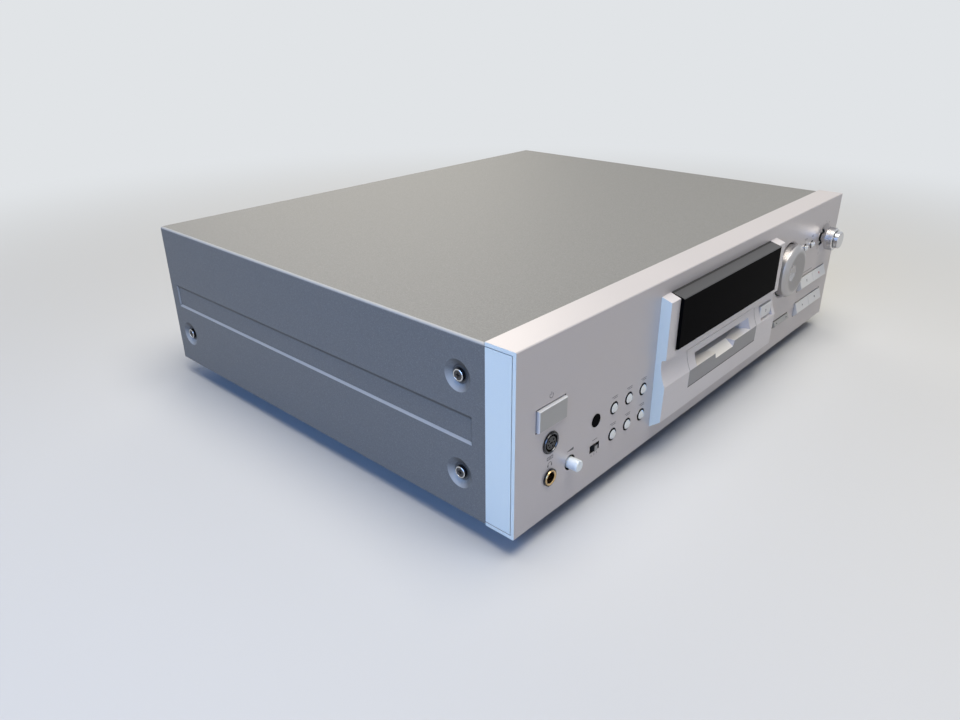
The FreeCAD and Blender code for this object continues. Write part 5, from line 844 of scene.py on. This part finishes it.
class DECK_OT_printing(DeckOperator, bpy.types.Operator):
    """Print the ticks, rules and symbols on the fascia."""

    bl_idname = "deck.printing"
    bl_label = "Fascia print"

    def make(self, context):
        line = context.scene.deck_print.line / MM
        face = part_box("front_panel")[0].y

        def put(name, shapes, node, rise=0.0):
            spot = middle(node)
            printed(name, shapes, Vector((spot.x, face, spot.z + rise * MM)), "ink", CASING)

        put("power_mark", arc_band(1.5, line, -230, 50) + [bar(0, 1.2, line, 2.0)],
            "power_button", 11.0)
        for node in ROUND_KEYS:
            put(node + "_rule", [bar(0, 0, 6.0, line), bar(0.8, -1.1, 4.4, line)], node, 7.6)
        put("phones_level_wedge", [[(-3.0, -0.1), (3.0, -0.9), (3.0, 0.9), (-3.0, 0.1)]],
            "phones_level_knob", 8.0)
        ears = [bar(side * 1.6, -0.5, 0.9, 1.4) for side in (-1, 1)]
        put("phones_mark", arc_band(1.6, line, 0, 180) + ears, "phones_jack", 8.2)
        put("keyboard_mark", [bar(0, 0, 5.0, line), bar(0, 1.6, 5.0, line),
                              bar(-2.5, 0.8, line, 1.95), bar(2.5, 0.8, line, 1.95),
                              bar(0, 0.8, 3.0, line)], "keyboard_jack", -10.4)
        put("timer_ticks", [bar(x, 0, line, 1.4) for x in (-2.8, 0, 2.8)], "timer_lever", -4.6)
        put("timer_rule", [bar(0, 0, 5.0, line)], "timer_lever", 5.4)
        put("record_level_ticks", ticks(13.2, 1.4, line, 240, -60, 11), "rec_level_ring")
        put("jog_ticks", [arrow(-27.5, 8.0, 1.1, 140), arrow(27.5, 8.0, 1.1, 40)], "jog_dial")
        put("transport_rule", [bar(0, 0, 26.0, line)], "pause_button", 9.0)


# Rear sockets

class DECK_OT_rear_sockets(DeckOperator, bpy.types.Operator):
    """Finish the rear sockets, with the colour rings of the line sockets and print around them."""

    bl_idname = "deck.rear_sockets"
    bl_label = "Rear sockets"

    def make(self, context):
        sheet_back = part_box("rear_panel")[1].y
        plate = 1.0 * MM
        low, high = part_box("line_jacks")
        give_by_place("line_jacks",
                      lambda centre, normal: centre.y <= sheet_back + plate + 0.01 * MM,
                      "gold", "black")
        give("optical_jacks", "black")
        inlet = middle("ac_inlet")
        pin_off, pin_reach = 4.3 * MM, 1.3 * MM
        give_by_place("ac_inlet", lambda centre, normal: any(
            math.hypot(centre.x - inlet.x - side * pin_off, centre.z - inlet.z) < pin_reach
            for side in (-1, 1)), "socket_black", "bright")
        inner, outer, proud = 4.2, 5.0, 1.5
        ring = [(0.0, inner), (0.0, outer), (proud - 0.3, outer), (proud, outer - 0.3),
                (proud, inner)]
        margin, pitch_x, pitch_z = 7.0 * MM, 14.0 * MM, 16.0 * MM
        for column, colour in enumerate(("red", "white")):
            for line in (0, 1):
                place = Vector((low.x + margin + column * pitch_x, sheet_back + plate,
                                high.z - margin - (1 - line) * pitch_z))
                lathe(f"line_ring_{column}_{line}", ring, place, colour, CASING, 48)

        def put(name, shapes, x, z):
            printed(name, shapes, Vector((x, sheet_back, z)), "pale_ink", CASING,
                    facing=1)

        put("line_out_mark", [bar(0, 1.6, 24.0, 0.4), bar(-12.0, 0.4, 0.4, 2.4),
                              bar(12.0, 0.4, 0.4, 2.4), arrow(0, 4.2, 1.5, 90)],
            (low.x + high.x) / 2, high.z)
        wave = [bar(x * 0.5, math.sin(x * 0.5 * math.pi / 2), 0.52, 0.5) for x in range(-4, 5)]
        put("mains_mark", wave, inlet.x, inlet.z + 15.0 * MM)
        optical = middle("optical_jacks")
        put("optical_marks", [round_dot(x, 0, 0.9) for x in (-17.0, 0, 17.0)], optical.x,
            optical.z + 18.0 * MM)


# Inside

class DECK_OT_boards(DeckOperator, bpy.types.Operator):
    """Finish the boards with what stands on them, and the transformer."""

    bl_idname = "deck.boards"
    bl_label = "Boards"

    def make(self, context):
        low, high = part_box("main_board")
        board, skin = 1.6 * MM, 0.01 * MM
        board_top = low.z + board
        # The capacitors stand in a row from front to rear, with the chips left of it
        can_line, can_reach, can_top = high.x - 18.0 * MM, 7 * MM, board_top + 22.1 * MM
        cans_to = low.y + 120 * MM
        chip_top, chips_to = board_top + 2.7 * MM, can_line - 20 * MM

        def on_main(centre, normal):
            if centre.z <= board_top + skin:
                return 0
            if centre.z < chip_top and centre.x < chips_to:
                return 1
            if abs(centre.x - can_line) < can_reach and centre.z < can_top and centre.y < cans_to:
                return 2
            return 3

        give_by_place("main_board", on_main, "board", "black", "sleeve", "steel")
        plate_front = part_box("control_board")[1].y - board - skin
        give_by_place("control_board", lambda centre, normal: centre.y < plate_front,
                      "board", "black")
        core = middle("power_transformer")
        half_core = 15.01 * MM
        give_by_place("power_transformer",
                      lambda centre, normal: abs(centre.y - core.y) > half_core, "core", "coil")
        give_each({"steel": "rec_level_pot phones_level_pot jog_encoder"})


class DECK_OT_drive(DeckOperator, bpy.types.Operator):
    """Finish the disc drive, and wind the lead screw's thread."""

    bl_idname = "deck.drive"
    bl_label = "Disc drive"

    def make(self, context):
        give_each({"steel": "drive_chassis disc_holder cam_slider head_arm",
                   "bright": "guide_shafts turntable loading_motor sled_motor spindle_motor",
                   "gear": "loading_gear", "rubber": "drive_dampers"})
        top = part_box("pickup_sled")[1].z
        lens_low, lens_high = top - 1.0 * MM, top - 0.5 * MM
        give_by_place("pickup_sled", lambda centre, normal: lens_low < centre.z < lens_high
                      and normal.z > 0.9, "black", "lens")
        self.cut_screw()

    def cut_screw(self):
        """The lead screw: a core rod, and a helical ridge up to the screw's outer radius."""
        low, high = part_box("lead_screw")
        spot = middle("lead_screw")
        radius, pitch, width, steps = (high.x - low.x) / 2, 4.0 * MM, 1.0 * MM, 24
        turns = (high.y - low.y - 4 * width) / pitch
        core, core_steps, overlap = radius - 0.45 * MM, 32, 1.02

        def around(y, reach, turn):
            return spot.x + reach * math.cos(turn), y, spot.z + reach * math.sin(turn)

        ridge = [(-0.5, core), (-0.2, radius), (0.2, radius), (0.5, core)]
        thread = [[around(low.y + 2 * width + pitch * i / steps + s * width, reach,
                          2 * math.pi * i / steps) for s, reach in ridge]
                  for i in range(int(turns * steps) + 1)]
        make_piece("lead_screw_thread", [thread], "bright", "lead_screw")
        rod = [[around(y, core * overlap, 2 * math.pi * i / core_steps) for i in range(core_steps)]
               for y in (low.y, high.y)]
        shaft = make_piece("lead_screw_core", [rod], "bright", "lead_screw")
        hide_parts("lead_screw")


# Stage

class DECK_OT_stage(DeckOperator, bpy.types.Operator):
    """Lay the pale floor, light the surround and hang the lamps."""

    bl_idname = "deck.stage"
    bl_label = "Stage"

    # Each lamp's place, what it faces, how wide it is and its colour
    LAMPS = {
        "overhead": ((-0.12, -0.3, 1.6), (0.0, -0.05, 0.1), 1.2, "#FFF8EA"),
        "fill": ((0.85, 1.35, 0.95), (0.0, 0.1, 0.05), 1.2, "#FFF8EA"),
        "side": ((-1.25, -0.35, 0.62), (0.0, -0.05, 0.07), 0.9, "#7FB4FF"),
    }

    def make(self, context):
        studio = context.scene.deck_studio
        self.lay_floor(studio)
        self.light_world(context, studio)
        for name, (place, target, size, code) in self.LAMPS.items():
            self.hang_lamp(name + "_lamp", place, target, size, getattr(studio, name), code)

    def lay_floor(self, studio):
        """A flat sheet wide enough for any view."""
        reach = 6.0
        mesh = bpy.data.meshes.new("floor_sheet")
        corners = [(x * reach, y * reach, 0) for x, y in ((-1, -1), (1, -1), (1, 1), (-1, 1))]
        mesh.from_pydata(corners, [], [(0, 1, 2, 3)])
        floor = bpy.data.objects.new("floor_sheet", mesh)
        bpy.context.scene.collection.objects.link(floor)
        mesh.materials.append(new_material("matt_paper_pale", self.matt_paper, studio.floor,
                                           studio.backdrop))

    def matt_paper(self, add, place, rgb, backdrop):
        """Matt paper that takes the shadow near the deck and fades into the backdrop far away."""
        away = add("VectorMath", {0: place}, operation="LENGTH")
        fade = add("MapRange", {"Value": away, "From Min": 0.35, "From Max": 1.1},
                   interpolation_type="SMOOTHSTEP")
        seen = add("Math", {0: fade, 1: self.seen_directly(add)}, operation="MULTIPLY")
        far = add("Emission", {"Color": tint(backdrop)})
        return {"Base Color": tint(rgb), "Roughness": 0.9,
                "Surface": lambda shader: add("MixShader", {0: seen, 1: shader, 2: far})}

    def seen_directly(self, add):
        """1 for what the camera sees, also in gloss and through glass, 0 for what only lights."""
        path = add("LightPath")
        seen = add("Math", {0: path.outputs["Is Camera Ray"], 1: path.outputs["Is Glossy Ray"]},
                   operation="MAXIMUM")
        return add("Math", {0: seen, 1: path.outputs["Is Transmission Ray"]}, operation="MAXIMUM")

    def light_world(self, context, studio):
        """Even ambient light, with a pale backdrop for what the camera and gloss see."""
        world = bpy.data.worlds.new("studio_surround")
        world.use_nodes = True
        context.scene.world = world
        add = adder(world.node_tree)
        light = add("Background", {"Color": tint(linear("#FFFFFF")), "Strength": studio.ambient})
        backdrop = add("Background", {"Color": tint(studio.backdrop), "Strength": 1.0})
        mixed = add("MixShader", {0: self.seen_directly(add), 1: light, 2: backdrop})
        add("OutputWorld", {"Surface": mixed})

    def hang_lamp(self, name, place, target, size, power, code):
        """A square soft lamp that faces a point."""
        lamp = bpy.data.lights.new(name, "AREA")
        lamp.size = size
        lamp.energy = power
        lamp.color = linear(code)
        holder = bpy.data.objects.new(name, lamp)
        holder.location = place
        holder.visible_camera = False
        ray = Vector(target) - Vector(place)
        holder.rotation_euler = ray.to_track_quat("-Z", "Y").to_euler()
        bpy.context.scene.collection.objects.link(holder)


class DECK_OT_camera(DeckOperator, bpy.types.Operator):
    """Set up the camera, off the deck's front left corner and above it."""

    bl_idname = "deck.camera"
    bl_label = "Camera"

    def make(self, context):
        studio = context.scene.deck_studio
        data = bpy.data.cameras.new("deck_camera")
        data.sensor_fit = "HORIZONTAL"
        data.sensor_width = studio.sensor
        data.lens = studio.lens
        data.clip_start = 0.01
        camera = bpy.data.objects.new("deck_camera", data)
        camera.location = studio.place
        camera.rotation_euler = Euler(studio.aim, "XYZ")
        context.scene.collection.objects.link(camera)
        context.scene.camera = camera
        context.scene.view_settings.view_transform = "Standard"


class DECK_PT_build(bpy.types.Panel):
    """The deck's settings and the steps that dress it."""

    bl_idname = "DECK_PT_build"
    bl_label = "Minidisc deck"
    bl_space_type = "VIEW_3D"
    bl_region_type = "UI"
    bl_category = "Deck"

    def draw(self, context):
        for setting in GROUPS:
            group = getattr(context.scene, setting)
            column = self.layout.column(align=True)
            for name in group.__annotations__:
                column.prop(group, name)
        for step in STEPS:
            self.layout.operator(step.bl_idname)


GROUPS = {"deck_finishes": DeckFinishes, "deck_print": DeckPrint, "deck_studio": DeckStudio}
STEPS = (DECK_OT_camera, DECK_OT_casing, DECK_OT_raised_centre, DECK_OT_display, DECK_OT_keys,
         DECK_OT_knobs, DECK_OT_front_sockets, DECK_OT_printing, DECK_OT_rear_sockets,
         DECK_OT_boards, DECK_OT_drive, DECK_OT_stage)
CLASSES = (*GROUPS.values(), *STEPS, DECK_PT_build)


def register():
    for cls in CLASSES:
        bpy.utils.register_class(cls)
    for name, cls in GROUPS.items():
        setattr(bpy.types.Scene, name, bpy.props.PointerProperty(type=cls))


def unregister():
    for name in GROUPS:
        delattr(bpy.types.Scene, name)
    for cls in reversed(CLASSES):
        bpy.utils.unregister_class(cls)


def main():
    """Dress the deck step by step."""
    register()
    for step in STEPS:
        area, action = step.bl_idname.split(".")
        getattr(getattr(bpy.ops, area), action)()


if __name__ == "__main__":
    main()
